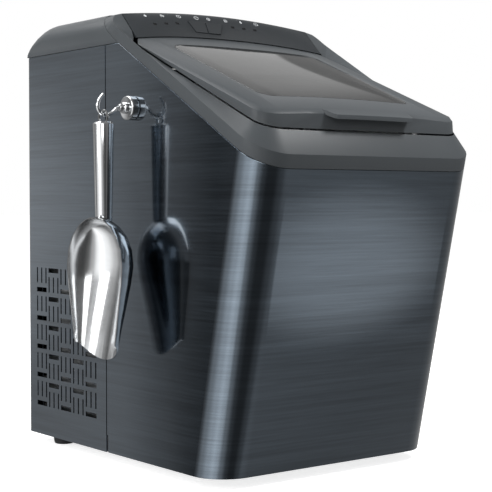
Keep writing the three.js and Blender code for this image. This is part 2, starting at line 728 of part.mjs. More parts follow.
function lidShell() {
  const outerAt = (x) => {
    const drop = lidEdgeDrop * Math.max(0, 1 - (lidHalf - Math.abs(x)) / lidBevel);
    const rear = lidRear(x);
    const front = lidFrontAt(x, 0);
    const topFront = Math.max(front + 0.2, lidFrontAt(x, 0) + lidBevel);
    return [
      [x, rear, rimHeight(rear) + lidGap],
      [x, rear, lidTop(x, rear) - drop],
      [x, topFront, lidTop(x, topFront) - drop],
      [x, front + 0.8, lidTop(x, front) - Math.max(drop, lidEdgeDrop)],
      [x, front, rimHeight(front) + lidGap],
    ];
  };
  const innerAt = (x) => {
    const rear = lidRear(x) - lidWall;
    const front = lidFrontAt(x, lidWall) + 0.8;
    const roof = (y) => lidTop(x, y) - lidWall;
    return [
      [x, rear, rimHeight(rear) - 2 * lidWall],
      [x, rear, roof(rear)],
      [x, front + lidBevel, roof(front + lidBevel)],
      [x, front, roof(front) - lidEdgeDrop],
      [x, front, rimHeight(front) - 2 * lidWall],
    ];
  };
  const shell = loft(lidStations(0, lidBevel).map(outerAt), [1, 2]);
  const hollow = loft(lidStations(lidWall, 0).map(innerAt), [1, 2]);
  const hole = windowOutline(-windowLedge);
  const body = shell.subtract(hollow).add(lidLip());
  const recess = windowSlab(windowOutline(0), windowThickness + gap);
  return body.subtract(barZ(hole, footHeight, 2 * roofEdge)).subtract(recess);
}

const lidTuck = 1.5; // the lid's rear edge runs this far under the hood

function lidLip() {
  const front = lidFrontAt(0, 0);
  const root = front + 2 * lidBevel;
  const outer = [[-lipHalf - lipSlant, root], [-lipHalf, front - lipReach + 2], [-lipHalf + 2, front - lipReach],
    [lipHalf - 2, front - lipReach], [lipHalf, front - lipReach + 2], [lipHalf + lipSlant, root]];
  return barZ(outer, footHeight, 2 * roofEdge).intersect(underLidTop(0.1, lipDepth));
}

// A thick sheet that lies under the lid's top surface, from `lift` below it down to `lift + depth`.
function underLidTop(lift, depth) {
  const far = -cabinetDepth - rearHeight / 3;
  const rear = -hoodDepth + lidTuck;
  const stations = along(12, (t) => mix(-halfWidth, halfWidth, t));
  return loft(stations.map((x) => [
    [x, rear, lidTop(x, rear) - lift], [x, far, lidTop(x, far) - lift],
    [x, far, lidTop(x, far) - lift - depth], [x, rear, lidTop(x, rear) - lift - depth],
  ]), [1, 2]);
}

function windowOutline(grow) {
  return roundedBox(-windowHalfWidth - grow, windowHalfWidth + grow,
    -windowFront - grow, -windowRear + grow, windowCorner + grow, 6);
}

function windowSlab(points, depth) {
  return barZ(points, footHeight, 2 * roofEdge).intersect(underLidTop(-0.5, depth + 0.5));
}

function lidWindow() {
  const points = windowOutline(-gap);
  return barZ(points, footHeight, 2 * roofEdge).intersect(underLidTop(0, windowThickness));
}

// ---- lid hinge ---------------------------------------------------------------------------------
const hingeDepth = 162; // back sheet to the lid's hinge axis
const hingeZ = sideTop - 3.5;
const hingePin = 1.6;
const hingePlay = 0.4;
const lugRadius = 4;
const lugInner = halfWidth - 27;
const lugOuter = halfWidth - 23;
const tankInset = 15; // cabinet's outside to the tank's outside
const tankWall = 2.5;
const bracketOuter = halfWidth - tankInset - tankWall - gap;
const bracketTop = 2.9; // radius of the bracket's rounded top, under the lid's skin
const bracketHeight = 30;

function lidLug(side) {
  const [x0, x1] = [side * lugInner, side * lugOuter].sort((a, b) => a - b);
  const under = (y) => [y, lidTop(lugOuter, y) - lidWall / 2];
  const plate = [
    under(-hingeDepth + lugRadius), under(-hingeDepth - lugRadius),
    ...arc(-hingeDepth, hingeZ, lugRadius, Math.PI, 2 * Math.PI, 8),
  ];
  return barX(plate, x0, x1)
    .subtract(rod(hingePin + hingePlay, [x0 - 1, -hingeDepth, hingeZ], [x1 + 1, -hingeDepth, hingeZ]));
}

function hingeBracket(side) {
  const [x0, x1] = [side * (lugOuter + gap), side * bracketOuter].sort((a, b) => a - b);
  const foot = hingeZ - bracketHeight;
  const plate = [
    ...arc(-hingeDepth, hingeZ, bracketTop, 0, Math.PI, 8),
    [-hingeDepth - 2 * bracketTop, foot], [-hingeDepth + 2 * bracketTop, foot],
  ];
  const pin = rod(hingePin, [side * (lugInner - 1), -hingeDepth, hingeZ],
    [side * (bracketOuter - 1), -hingeDepth, hingeZ]);
  return barX(plate, x0, x1).add(pin);
}

// ---- inside: tank, basket and ice maker --------------------------------------------------------
const tankRear = 139.5;
const tankFloor = 100;
const tankRearTop = sideTop - 27.5; // the tank's rear is low so that the lid's rear edge can swing past it
const tankRearCut = 168;
const flangeRear = 178;
const flangeInset = 3;
const flangeDrop = 3; // frame's lower edge to the flange
const tankDrop = 0.5; // frame's lower edge to the tank's wall
const pipeHoleRadius = 6;
const pipeHoleReach = [6, 2]; // how far the cutter of a pipe's hole runs inside and outside the wall
const pipeZ = sideTop - 42.5;
const pipeX = halfWidth - 62;
const railWidth = 6;
const railHeight = 6;

function waterTank() {
  const bottom = tankFloor;
  const high = 2 * roofEdge;
  const wall = leaningBar(frontOutline(tankInset, tankRear), bottom, sideTop);
  const flange = leaningBar(frontOutline(flangeInset, flangeRear), bottom, sideTop)
    .intersect(barX(aboveEdge(-flangeDrop), -cabinetWidth, cabinetWidth));
  const inner = leaningBar(frontOutline(tankInset + tankWall, tankRear + tankWall),
    bottom + tankWall, sideTop + 1);
  const rail = (side) => {
    const xs = [side * (basketHalf - railWidth), side * (halfWidth - tankInset - 1)].sort((a, b) => a - b);
    return block(xs[0], xs[1], -basketFront, -basketRear, basketFoot - railHeight, basketFoot - gap);
  };
  const cuts = [
    inner,
    barX(aboveEdge(-tankDrop), -cabinetWidth, cabinetWidth),
    block(-halfWidth, halfWidth, -tankRearCut, 0, tankRearTop, high),
    ...[-1, 1].map((side) => rod(pipeHoleRadius, [side * pipeX, -tankRear - pipeHoleReach[0], pipeZ],
      [side * pipeX, -tankRear + pipeHoleReach[1], pipeZ], 12)),
  ];
  return wall.add(flange).subtract(wasm.Manifold.union(cuts)).add(rail(-1)).add(rail(1));
}

const basketHalf = halfWidth - 30;
const basketFront = cabinetDepth + 5;
const basketRear = 222;
const basketTop = sideTop - 134.5;
const basketHeight = 75;
const basketFoot = basketTop - basketHeight;
const basketWall = 2;
const basketCorner = 8;
const drainSlotInset = [9, 12]; // basket's side and front to the slots in its floor
const drainSlotWidth = 4;
const sideSlotInset = 14;
const sideSlotSize = [10, 8];
const sideSlotLift = 46;
const basketTab = [24, 16]; // half width and depth of the finger tab
const tabHole = [17, 5, 12]; // half width, and from the basket's front to its near and far edges

function iceBasket() {
  const outline2 = (inset) => roundedBox(-basketHalf + inset, basketHalf - inset,
    -basketFront + inset, -basketRear - inset, basketCorner - inset, 3);
  const shell = barZ(outline2(0), basketFoot, basketTop)
    .subtract(barZ(outline2(basketWall), basketFoot + basketWall, basketTop + 1));
  const across = basketHalf - drainSlotInset[0];
  const slots = along(10, (t) => {
    const x = mix(-across, across, t);
    return block(x - drainSlotWidth / 2, x + drainSlotWidth / 2, -basketFront + drainSlotInset[1],
      -basketRear - drainSlotInset[1], basketFoot - 1, basketFoot + basketWall + 1);
  });
  const sides = along(7, (t) => {
    const x = mix(-basketHalf + sideSlotInset, basketHalf - sideSlotInset, t);
    return block(x - sideSlotSize[0] / 2, x + sideSlotSize[0] / 2, -basketFront - 1, -basketRear + 1,
      basketFoot + sideSlotLift, basketFoot + sideSlotLift + sideSlotSize[1]);
  });
  const front = -basketFront + 1;
  const tab = block(-basketTab[0], basketTab[0], front, front + basketTab[1], basketTop - 2.5, basketTop + 0.5)
    .subtract(barZ(roundedBox(-tabHole[0], tabHole[0], front + tabHole[1], front + tabHole[2], 3, 2),
      basketTop - 4, basketTop + 2));
  return shell.subtract(wasm.Manifold.union([...slots, ...sides])).add(tab);
}

const trayDepth = 188; // back sheet to the tray's pivot axis
const trayZ = sideTop - 88.5;
const trayRadius = 26;
const trayWall = 2;
const trayHalf = halfWidth - 44;
const traySpan = 70 * Math.PI / 180; // each side of straight down
const trayPivot = 3;
const trayReach = 8;
const trayLug = 6; // the tray's ends rise this far above its pivot

function trayArc(radius, steps) {
  return arc(-trayDepth, trayZ, radius, -Math.PI / 2 - traySpan, -Math.PI / 2 + traySpan, steps);
}

function waterTray() {
  const trough = barX([...trayArc(trayRadius, 14), ...trayArc(trayRadius - trayWall, 14).reverse()],
    -trayHalf, trayHalf);
  const ends = [-1, 1].flatMap((side) => {
    const xs = [side * trayHalf, side * (trayHalf + trayWall)].sort((a, b) => a - b);
    const plate = barX([...trayArc(trayRadius, 14), [-trayDepth, trayZ + trayLug]], xs[0], xs[1]);
    const stub = rod(trayPivot, [side * trayHalf, -trayDepth, trayZ],
      [side * (trayHalf + trayWall + trayReach), -trayDepth, trayZ], 12);
    return [plate, stub];
  });
  return wasm.Manifold.union([trough, ...ends]);
}

const mountInner = trayHalf + trayWall + trayReach + gap;
const mountOuter = halfWidth - tankInset - tankWall - gap;
const motorBody = [16, 18]; // motor's box, forward and below, and back and above, of the tray's pivot
const motorCan = [9, 30]; // radius of the motor's can and its height above the pivot
const canInset = 4;
const neckHalf = 5;
const bearingRadius = 9;
const bearingRise = 4;

function trayMotor() {
  const [low, high] = motorBody;
  const [radius, rise] = motorCan;
  const inner = -mountInner - canInset;
  return wasm.Manifold.union([
    block(-mountOuter, -mountInner, -trayDepth - low, -trayDepth + high, trayZ - low, trayZ + high),
    rod(radius, [inner, -trayDepth, trayZ + rise], [-mountOuter, -trayDepth, trayZ + rise], 16),
    block(-mountOuter, inner, -trayDepth - neckHalf, -trayDepth + neckHalf, trayZ + high - 1, trayZ + rise),
  ]);
}

function trayBearing() {
  const r = bearingRadius;
  return barX([[-trayDepth - r, trayZ - r], [-trayDepth + r, trayZ - r], [-trayDepth + r, trayZ + bearingRise],
    ...arc(-trayDepth, trayZ + bearingRise, r, 0, Math.PI, 8)], mountInner, mountOuter);
}

const evaporatorHalf = [halfWidth - 48, 8];
const evaporatorFoot = sideTop - 58.5;
const evaporatorTop = evaporatorFoot + 9;
const fingerCount = 9;
const fingerPitch = (2 * evaporatorHalf[0] - 20) / (fingerCount - 1);
const fingerRadius = 4.5;
const fingerLength = 48;
const fingerTaper = 4;

function evaporator() {
  const bar = block(-evaporatorHalf[0], evaporatorHalf[0], -trayDepth - evaporatorHalf[1],
    -trayDepth + evaporatorHalf[1], evaporatorFoot, evaporatorTop);
  const profile = [[0, 0], [0.6 * fingerRadius, 0.2 * fingerTaper], [fingerRadius, fingerTaper],
    [fingerRadius, fingerLength + 1], [0, fingerLength + 1]];
  const fingers = along(fingerCount - 1, (t) => {
    const x = (t - 0.5) * (fingerCount - 1) * fingerPitch;
    return turned(profile, [x, -trayDepth, evaporatorFoot - fingerLength], [0, 0, 1], 10);
  });
  return wasm.Manifold.union([bar, ...fingers]);
}

const chuteTop = sideTop - 130;
const chuteHalf = halfWidth - 50;
const chuteWall = 2;
const chuteSide = 9;
const pusherClear = 0.4; // under the pusher
const bladeDepth = [176, 173];
const bladeHeight = 12;
const armDepth = [174, 148];
const armX = 40;
const armHalf = 4;
const armHeight = 5;
const sensorDepth = [236, 226];
const sensorReach = 8;
const sensorLift = 8;
const sensorHeight = 12;
const sensorEye = 3;

function iceChute() {
  const front = -basketRear + 2;
  const rear = -tankRear - tankWall - gap;
  const plate = block(-chuteHalf, chuteHalf, front, rear, chuteTop - chuteWall, chuteTop);
  const side = (x) => block(x, x + chuteWall, front, rear, chuteTop - 1, chuteTop + chuteSide);
  return wasm.Manifold.union([plate, side(-chuteHalf), side(chuteHalf - chuteWall)]);
}

function icePusher() {
  const half = chuteHalf - chuteWall - 1;
  const foot = chuteTop + pusherClear;
  const blade = block(-half, half, -bladeDepth[0], -bladeDepth[1], foot, chuteTop + bladeHeight);
  const arm = (x) => block(x - armHalf, x + armHalf, -armDepth[0], -armDepth[1], foot, chuteTop + armHeight);
  return wasm.Manifold.union([blade, arm(-armX), arm(armX)]);
}

function iceSensor() {
  const x = -mountOuter;
  const foot = basketTop + sensorLift;
  const eye = [-(sensorDepth[0] + sensorDepth[1]) / 2, foot + sensorHeight / 2];
  return block(x, x + sensorReach, -sensorDepth[0], -sensorDepth[1], foot, foot + sensorHeight)
    .add(rod(sensorEye, [x + sensorReach, ...eye], [x + sensorReach + sensorEye, ...eye], 12));
}

const pumpX = halfWidth - 52;
const pumpDepth = 166;
const pumpRadius = 16;
const pumpTop = 24;
const pumpOutlet = 32;
const hoseRadius = 4;
const pumpFoot = tankFloor + tankWall + gap;

function waterPump() {
  const neck = pumpRadius - 3;
  const body = turned([[0, 0], [pumpRadius, 0], [pumpRadius, pumpRadius], [neck, pumpRadius + 3], [neck, pumpTop],
    [0, pumpTop]], [pumpX, -pumpDepth, pumpFoot]);
  return body.add(rod(hoseRadius, [pumpX, -pumpDepth, pumpFoot + pumpTop - 1],
    [pumpX, -pumpDepth, pumpFoot + pumpOutlet], 12));
}

// The hose climbs from the pump beside the tank's rear wall and ends over the tray.
function pumpHose() {
  const foot = pumpFoot + pumpOutlet + 2 * gap;
  const top = sideTop - 56.5;
  const at = (out, depth, z) => [pumpX + out, -depth, z];
  return bentRod(hoseRadius, [at(0, pumpDepth, foot), at(0, pumpDepth, foot + 8),
    at(10, pumpDepth - 10, foot + 34.6), at(13, pumpDepth - 14, top - 80), at(13, pumpDepth - 14, top - 28),
    at(11, pumpDepth - 10, top - 6), at(8, pumpDepth + 2, top)], 18, 6);
}

// ---- inside: the cooling side ------------------------------------------------------------------
const panFloor = footHeight + gap + baseFloor;
const compressorAt = [halfWidth - 68, -70];
const compressorRadius = 44;
const compressorHeight = 134;
const compressorSeam = 66; // height of the welded seam round the can
const footPlate = [42, 30]; // half width and half depth
const bushInset = 6;
const bushRadius = 7;

function compressor() {
  const foot = panFloor + gap;
  const [x, y] = compressorAt;
  const r = compressorRadius;
  const seam = compressorSeam;
  const top = compressorHeight;
  const can = turned([[0, 8], [r - 12, 8], [r, 20], [r, seam], [r + 2, seam + 1], [r + 2, seam + 5], [r, seam + 6],
    [r, top - 22], [r - 6, top - 10], [r - 20, top - 2], [0, top]], [x, y, foot], [0, 0, 1], 22);
  const [w, d] = footPlate;
  const plate = block(x - w, x + w, y - d, y + d, foot + bushRadius - 1, foot + bushRadius + 2);
  const bushes = [[-1, -1], [1, -1], [-1, 1], [1, 1]].map(([i, j]) => turned(
    [[0, 0], [bushRadius, 0], [bushRadius, bushRadius], [0, bushRadius]],
    [x + i * (w - bushInset), y + j * (d - bushInset), foot], [0, 0, 1], 12));
  return wasm.Manifold.union([can, plate, ...bushes]);
}

const coilDepth = [122, 14];
const coilZ = [32, 160];
const coilX = [-halfWidth + 7, -halfWidth + 25];
const finCount = 16;
const finThick = 2.4;
const finProud = [5, 2]; // the fins stand proud of the coil's core by this much across, and less front and back

function condenser() {
  const slab = block(coilX[0] + finProud[0], coilX[1] - finProud[0], -coilDepth[0], -coilDepth[1],
    coilZ[0], coilZ[1]);
  const fins = along(finCount - 1, (t) => {
    const z = mix(coilZ[0] + 2, coilZ[1] - 2, t);
    return block(coilX[0], coilX[1], -coilDepth[0] + finProud[1], -coilDepth[1] - finProud[1],
      z - finThick / 2, z + finThick / 2);
  });
  return wasm.Manifold.union([slab, ...fins]);
}

const fanCentre = [-76, 95]; // y, z
const fanRadius = 42;
const fanHub = 13;
const bladeCount = 5;
const bladeSize = [1.6, 16]; // thickness and chord
const bladePitch = 0.6; // radians
const shroudHalf = [54, 60];
const shroudX = [-halfWidth + 26, -halfWidth + 45];
const strapX = [shroudX[1] + gap + 0.1, shroudX[1] + 3];
const strapHalf = [7, 58];
const fanMotorRadius = 17;
const fanMotorLength = 22;

function fanShroud() {
  const [d, h] = shroudHalf;
  const plate = block(...shroudX, fanCentre[0] - d, fanCentre[0] + d, fanCentre[1] - h, fanCentre[1] + h);
  return plate.subtract(rod(fanRadius + 3, [shroudX[0] - 1, ...fanCentre], [shroudX[1] + 1, ...fanCentre], 28));
}

function fanRotor() {
  const hub = rod(fanHub, [shroudX[0] + 3, ...fanCentre], [shroudX[1] - 1.5, ...fanCentre], 20);
  const root = fanHub - 3;
  const blades = along(bladeCount - 1, (t) => {
    const turn = t * (bladeCount - 1) / bladeCount * 2 * Math.PI;
    const blade = new THREE.BoxGeometry(...bladeSize, fanRadius - root);
    blade.rotateZ(bladePitch).translate(0, 0, (fanRadius + root) / 2);
    return solid(blade.rotateX(turn).translate((shroudX[0] + shroudX[1]) / 2, ...fanCentre));
  });
  return wasm.Manifold.union([hub, ...blades]);
}

function fanMotor() {
  const [d, h] = strapHalf;
  const strap = block(...strapX, fanCentre[0] - d, fanCentre[0] + d, fanCentre[1] - h, fanCentre[1] + h);
  const end = strapX[1] + fanMotorLength;
  return strap.add(rod(fanMotorRadius, [strapX[1] - 1, ...fanCentre], [end, ...fanCentre], 20));
}

const drierAt = [-30, -24, 186];
const drierRadius = 8;
const drierLength = 70;
const stubRadius = 3;

function filterDrier() {
  const neck = 6;
  const body = 12;
  return turned([[0, 0], [stubRadius, 0], [stubRadius, neck], [drierRadius, body], [drierRadius, drierLength - body],
    [stubRadius, drierLength - neck], [stubRadius, drierLength], [0, drierLength]], drierAt, [0, 0, 1], 16);
}

const thinPipe = 3;
const widePipe = 3.5;

// A pipe's last stretch: through the tank's rear wall, over the tray and down to the evaporator's bar.
function intoTank(x) {
  return [[x, -tankRear + 3.5, pipeZ], [x, -tankRear - 10.5, pipeZ], [x, -trayDepth + 16, pipeZ],
    [x, -trayDepth, evaporatorTop + 6], [x, -trayDepth, evaporatorTop + gap]];
}

function pipes() {
  const [x, y] = compressorAt;
  const top = panFloor + compressorHeight;
  const coil = [coilX[0] + 9, coilZ[1]];
  return {
    discharge_pipe: bentRod(thinPipe, [[x - 16, y + 10, top + 2], [x - 18, y + 18, top + 20], [0, -34, top + 28],
      [coil[0] + 38, -26, top + 28], [coil[0] + 6, -30, top + 26], [coil[0], -40, coil[1] + 9],
      [coil[0], -42, coil[1] + 1]], 20, 6),
    suction_pipe: bentRod(widePipe, [[x + 16, y - 6, top + 2], [x + 18, y - 14, top + 30],
      [x + 14, y - 34, top + 100], [pipeX + 2, y - 54, pipeZ - 8], ...intoTank(pipeX)], 24, 6),
    hot_gas_pipe: bentRod(thinPipe, [[x - 36, y, top + 1], [x - 46, y - 10, top + 40],
      [-pipeX + 32, y - 34, top + 100], [-pipeX + 8, y - 54, pipeZ - 6], ...intoTank(-pipeX)], 24, 6),
  };
}

// ---- back fittings -----------------------------------------------------------------------------
const fittingProud = 2.2; // fittings stand this far off the back sheet

const inletFlange = 4;
const inletWall = 2.5;
const inletBody = 20; // how far the inlet's body and its recess reach behind the back sheet
const inletRecess = 14;
const bladePlace = [[-7, 0], [7, 0], [0, 4]]; // the three blades, across and up from the inlet's middle
const bladeHalf = [1, 2.5];

function powerInlet() {
  const [w, h] = inletHalf.map((half) => half - gap);
  const around = (grow, radius) => roundedBox(inletX - w - grow, inletX + w + grow,
    inletZ - h - grow, inletZ + h + grow, radius, radius);
  const face = barY(around(inletFlange, 3), gap, fittingProud);
  const body = barY(around(0, 2), -inletBody, gap + 1);
  const recess = barY(around(-inletWall, 2), -inletRecess, fittingProud + 1);
  const blades = bladePlace.map(([x, z]) => block(inletX + x - bladeHalf[0], inletX + x + bladeHalf[0],
    -inletRecess - 2, -4, inletZ + z - bladeHalf[1], inletZ + z + bladeHalf[1]));
  return face.add(body).subtract(recess).add(wasm.Manifold.union(blades));
}

const plugRadius = 6.5;
const plugPlay = 0.3;

const spoutLength = 20; // behind the back sheet's face
const spoutFlange = 4;
const plugStart = 8; // inner end of the spout to the plug's tip
const plugCap = 2.5;

function drainSpout() {
  const r = drainRadius - gap;
  const bore = plugRadius + plugPlay;
  const face = spoutLength + fittingProud;
  return turned([[bore, 0], [r, 0], [r, spoutLength + gap], [r + spoutFlange, spoutLength + gap],
    [r + spoutFlange, face], [bore, face], [bore, 0]], [drainX, -spoutLength, drainZ], [0, 1, 0], 20);
}

function drainPlug() {
  const face = spoutLength + fittingProud;
  return turned([[0, plugStart], [plugRadius - 1, plugStart], [plugRadius, plugStart + 2],
    [plugRadius, face + gap], [drainRadius, face + gap], [drainRadius, face + plugCap],
    [4, face + plugCap + 1.5], [0, face + plugCap + 1.5]], [drainX, -spoutLength, drainZ], [0, 1, 0], 20);
}

function panScrew(x, z) {
  return turned([[0, 0], [3.4, 0], [3.2, 1], [2, 1.8], [0, 1.9]], [x, gap, z], [0, 1, 0], 12);
}

// ---- side hook and scoop -----------------------------------------------------------------------
const hookDepth = 174.5; // back sheet to the hook's axis
const hookZ = sideTop - 54.5;
const magnetRadius = 9.8;
const magnetHeight = 7;
const hookWire = 1.4;
const hookReach = 28; // side sheet to the scoop's axis
const hookSag = 6; // the hook's lowest point below its own axis
const eyeRadius = 5.2;
const eyeWire = 1.2;
const wallX = -halfWidth;

function hookMagnet() {
  return turned([[0, gap], [magnetRadius, gap], [magnetRadius, magnetHeight - 0.8],
    [magnetRadius - 0.8, magnetHeight], [0, magnetHeight]], [wallX, -hookDepth, hookZ], [-1, 0, 0], 28);
}

function sideHook() {
  const start = magnetHeight + gap;
  const collar = turned([[0, start], [4.6, start], [4.6, start + 2.4], [3.2, start + 3.2], [3.2, start + 5.4],
    [2.2, start + 6.4], [0, start + 6.4]], [wallX, -hookDepth, hookZ], [-1, 0, 0], 16);
  const at = (out, up) => [wallX - out, -hookDepth, hookZ + up];
  const wire = bentRod(hookWire, [at(start + 5, 0), at(start + 8, -0.4), at(hookReach - 8.5, -hookSag + 2),
    at(hookReach - 3.5, -hookSag), at(hookReach, -hookSag), at(hookReach + 3.5, -hookSag + 2),
    at(hookReach + 5.2, -0.2), at(hookReach + 4, 5), at(hookReach, 10)], 22, 8);
  return collar.add(wire);
}

// The scoop's own frame: its origin is on the hook's wire, z runs up its handle and its mouth faces -x.
const eyeCentre = hookWire + gap - (eyeRadius - eyeWire);
const handleTop = eyeCentre - eyeRadius + 1.6;
const handleLength = 78;
const handleTopRadius = 8.4;
const handleFootRadius = 6.8;
const handleFoot = handleTop - handleLength;
const bowlLength = 113;
const bowlTop = handleFoot + 3;
const rimX = -10; // the bowl's rim plane, out from the handle's axis
const bowlWall = 1.2;
const bowlTipHalf = 23.5;
const bowlTipRound = 12;
const scoopTurn = 7 * Math.PI / 180;

// Half width and depth of the bowl at a distance below its top.
const bowlShape = [[0, 4, 8], [2, 11, 13], [7, 20, 19], [15, 27.5, 24.5], [26, 33, 27.5], [38, 34.7, 28],
  [52, 33.5, 25.5], [70, 30.5, 21], [90, 27, 16], [113, bowlTipHalf, 11.5]];

function bowlSolid(inset, reach, drop, steps) {
  const rings = bowlShape.map(([down, half, depth]) => {
    const z = bowlTop - down - (down === 0 ? drop : 0);
    const w = Math.max(0.6, half - inset);
    const d = Math.max(0.6, depth - inset);
    const back = arc(0, 0, 1, -Math.PI / 2, Math.PI / 2, steps).map(([c, s]) => [rimX + d * c, w * s, z]);
    return [[rimX - reach, -w, z], ...back, [rimX - reach, w, z]];
  });
  const last = rings[rings.length - 1].map(([x, y, z]) => [x, y, z - reach]);
  return loft(reach > 0 ? [...rings, last] : rings, [0, 1]);
}

function scoopBowl() {
  const outer = bowlSolid(0, 0.01, 0, 18);
  const inner = bowlSolid(bowlWall, 3, bowlWall, 18);
  const radius = (bowlTipHalf ** 2 + bowlTipRound ** 2) / (2 * bowlTipRound);
  const foot = bowlTop - bowlLength;
  const half = Math.asin(Math.min(1, (bowlTipHalf + 1) / radius));
  const tip = arc(0, foot + radius, radius, -Math.PI / 2 - half, -Math.PI / 2 + half, 14);
  const keep = [[-60, tip[0][1]], ...tip, [60, tip[0][1]], [60, bowlTop + 10], [-60, bowlTop + 10]];
  return outer.subtract(inner).intersect(barX(keep, -80, 80));
}

function scoopHandle() {
  const profile = [[0, 0], [handleFootRadius, 0], [handleTopRadius, handleLength - 1.5],
    [handleTopRadius - 1.5, handleLength], [0, handleLength]];
  const bar = turned(profile, [0, 0, handleFoot], [0, 0, 1], 28);
  return bar.subtract(ring(eyeRadius, eyeWire + gap, [0, 0, eyeCentre], [1, 0, 0], 24, 8))
    .subtract(bowlSolid(-gap, 0.01, -gap, 18));
}

function scoopEye() {
  return ring(eyeRadius, eyeWire, [0, 0, eyeCentre], [1, 0, 0], 24, 6);
}

// ---- assembly ----------------------------------------------------------------------------------
function addCabinet() {
  addPart("base_pan", basePan(), galvanised());
  for (const [name, x, y] of [
    ["foot_front_left", -(halfWidth - frontFootInset), frontFootDepth],
    ["foot_front_right", halfWidth - frontFootInset, frontFootDepth],
    ["foot_rear_left", -(halfWidth - rearFootInset), rearFootDepth],
    ["foot_rear_right", halfWidth - rearFootInset, rearFootDepth],
  ]) {
    addPart(name, foot(x, y), rubber());
  }
  addPart("front_wrap", frontWrap(), darkSteel());
  for (const [name, side] of [["left", -1], ["right", 1]]) {
    addPart(`${name}_side_sheet`, sideSheet(side), darkSteel());
    addPart(`${name}_seam_strip`, seamStrip(side), darkSteel());
  }
  addPart("back_sheet", backSheet(), darkSteel());
  addPart("rear_cap", rearCap(), greyMould());
  addPart("top_frame", topFrame(), greyMould());
}

function addControls() {
  addPart("control_panel", controlPanel(), panelMould());
  addPart("power_button", pushButton(-1), panelMould());
  addPart("select_button", pushButton(1), panelMould());
  addPart("left_indicator_lights", indicatorLights(-1), clearPlastic());
  addPart("right_indicator_lights", indicatorLights(1), clearPlastic());
  addPart("control_board", controlBoard(), greenBoard());
}

function addLid() {
  addPart("lid_shell", lidShell().add(lidLug(-1)).add(lidLug(1)), greyMould());
  addPart("lid_window", lidWindow(), smokedGlass());
  addPart("left_hinge_bracket", hingeBracket(-1), blackPlastic());
  addPart("right_hinge_bracket", hingeBracket(1), blackPlastic());
}

function addIceMaker() {
  addPart("water_tank", waterTank(), whitePlastic());
  addPart("ice_basket", iceBasket(), clearPlastic());
  addPart("ice_chute", iceChute(), whitePlastic());
  addPart("water_tray", waterTray(), whitePlastic());
  addPart("tray_motor", trayMotor(), blackPlastic());
  addPart("tray_bearing", trayBearing(), whitePlastic());
  addPart("evaporator", evaporator(), galvanised());
  addPart("ice_pusher", icePusher(), blackPlastic());
  addPart("ice_sensor", iceSensor(), blackPlastic());
  addPart("water_pump", waterPump(), blackPlastic());
  addPart("pump_hose", pumpHose(), clearPlastic());
}

function addCooling() {
  addPart("compressor", compressor(), blackPlastic());
  addPart("condenser", condenser(), galvanised());
  addPart("fan_shroud", fanShroud(), blackPlastic());
  addPart("fan_rotor", fanRotor(), blackPlastic());
  addPart("fan_motor", fanMotor(), galvanised());
  addPart("filter_drier", filterDrier(), copper());
  Object.entries(pipes()).forEach(([name, pipe]) => addPart(name, pipe, copper()));
}

function addBackFittings() {
  addPart("power_inlet", powerInlet(), blackPlastic());
  addPart("drain_spout", drainSpout(), blackPlastic());
  addPart("drain_plug", drainPlug(), rubber());
  const edge = halfWidth - sideFlange - 6;
  [footHeight + 8, sideTop / 2, sideTop - 10].forEach((z, row) => [-1, 1].forEach((side) => {
    addPart(`back_screw_${row + 1}_${side < 0 ? "left" : "right"}`, panScrew(side * edge, z), galvanised());
  }));
}

function addScoop() {
  addPart("hook_magnet", hookMagnet(), chrome());
  addPart("hook", sideHook(), chrome());
  const scoop = new THREE.Group();
  scoop.position.set(wallX - hookReach, -hookDepth, hookZ - hookSag);
  scoop.rotation.z = scoopTurn;
  model.add(scoop);
  addPart("scoop_ring", scoopEye(), chrome(), scoop);
  addPart("scoop_handle", scoopHandle(), chrome(), scoop);
  addPart("scoop_bowl", scoopBowl(), chrome(), scoop);
}

addCabinet();
addControls();
addLid();
addIceMaker();
addCooling();
addBackFittings();
addScoop();

// The origin is the middle of the footprint, on the floor.
const box = new THREE.Box3().setFromObject(model);
const middle = box.getCenter(new THREE.Vector3());
model.position.set(-middle.x, -middle.y, 0);

export default model;
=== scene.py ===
# %% [markdown]
# # A countertop ice maker, finished in Blender
#
# The solid model arrives ready made: every panel, hinge and pump stands where it should. This lesson
# gives it its looks. It sets up a camera and a small studio, builds the finishes from shader nodes,
# softens the edges of what shows, and prints the symbols on the controls, which a solid model
# leaves out.

# %% Loading the frame
import bpy
import json
from math import radians, cos, sin, pi
from mathutils import Matrix, Vector
from mathutils.bvhtree import BVHTree


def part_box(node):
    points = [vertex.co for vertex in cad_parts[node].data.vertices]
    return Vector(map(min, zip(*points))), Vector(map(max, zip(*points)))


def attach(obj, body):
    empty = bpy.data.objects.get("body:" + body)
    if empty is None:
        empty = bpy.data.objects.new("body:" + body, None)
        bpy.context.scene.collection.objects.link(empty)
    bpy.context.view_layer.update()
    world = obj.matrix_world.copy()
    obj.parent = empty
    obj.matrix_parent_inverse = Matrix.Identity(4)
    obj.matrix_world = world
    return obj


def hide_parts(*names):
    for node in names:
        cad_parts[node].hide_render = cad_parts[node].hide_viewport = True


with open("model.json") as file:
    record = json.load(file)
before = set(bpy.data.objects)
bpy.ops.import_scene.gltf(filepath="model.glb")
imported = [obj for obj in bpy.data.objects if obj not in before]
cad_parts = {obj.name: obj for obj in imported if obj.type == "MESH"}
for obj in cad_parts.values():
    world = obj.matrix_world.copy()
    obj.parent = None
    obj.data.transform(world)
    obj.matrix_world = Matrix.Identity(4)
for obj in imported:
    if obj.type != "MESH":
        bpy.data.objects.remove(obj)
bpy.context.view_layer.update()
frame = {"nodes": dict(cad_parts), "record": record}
nodes = frame["nodes"]

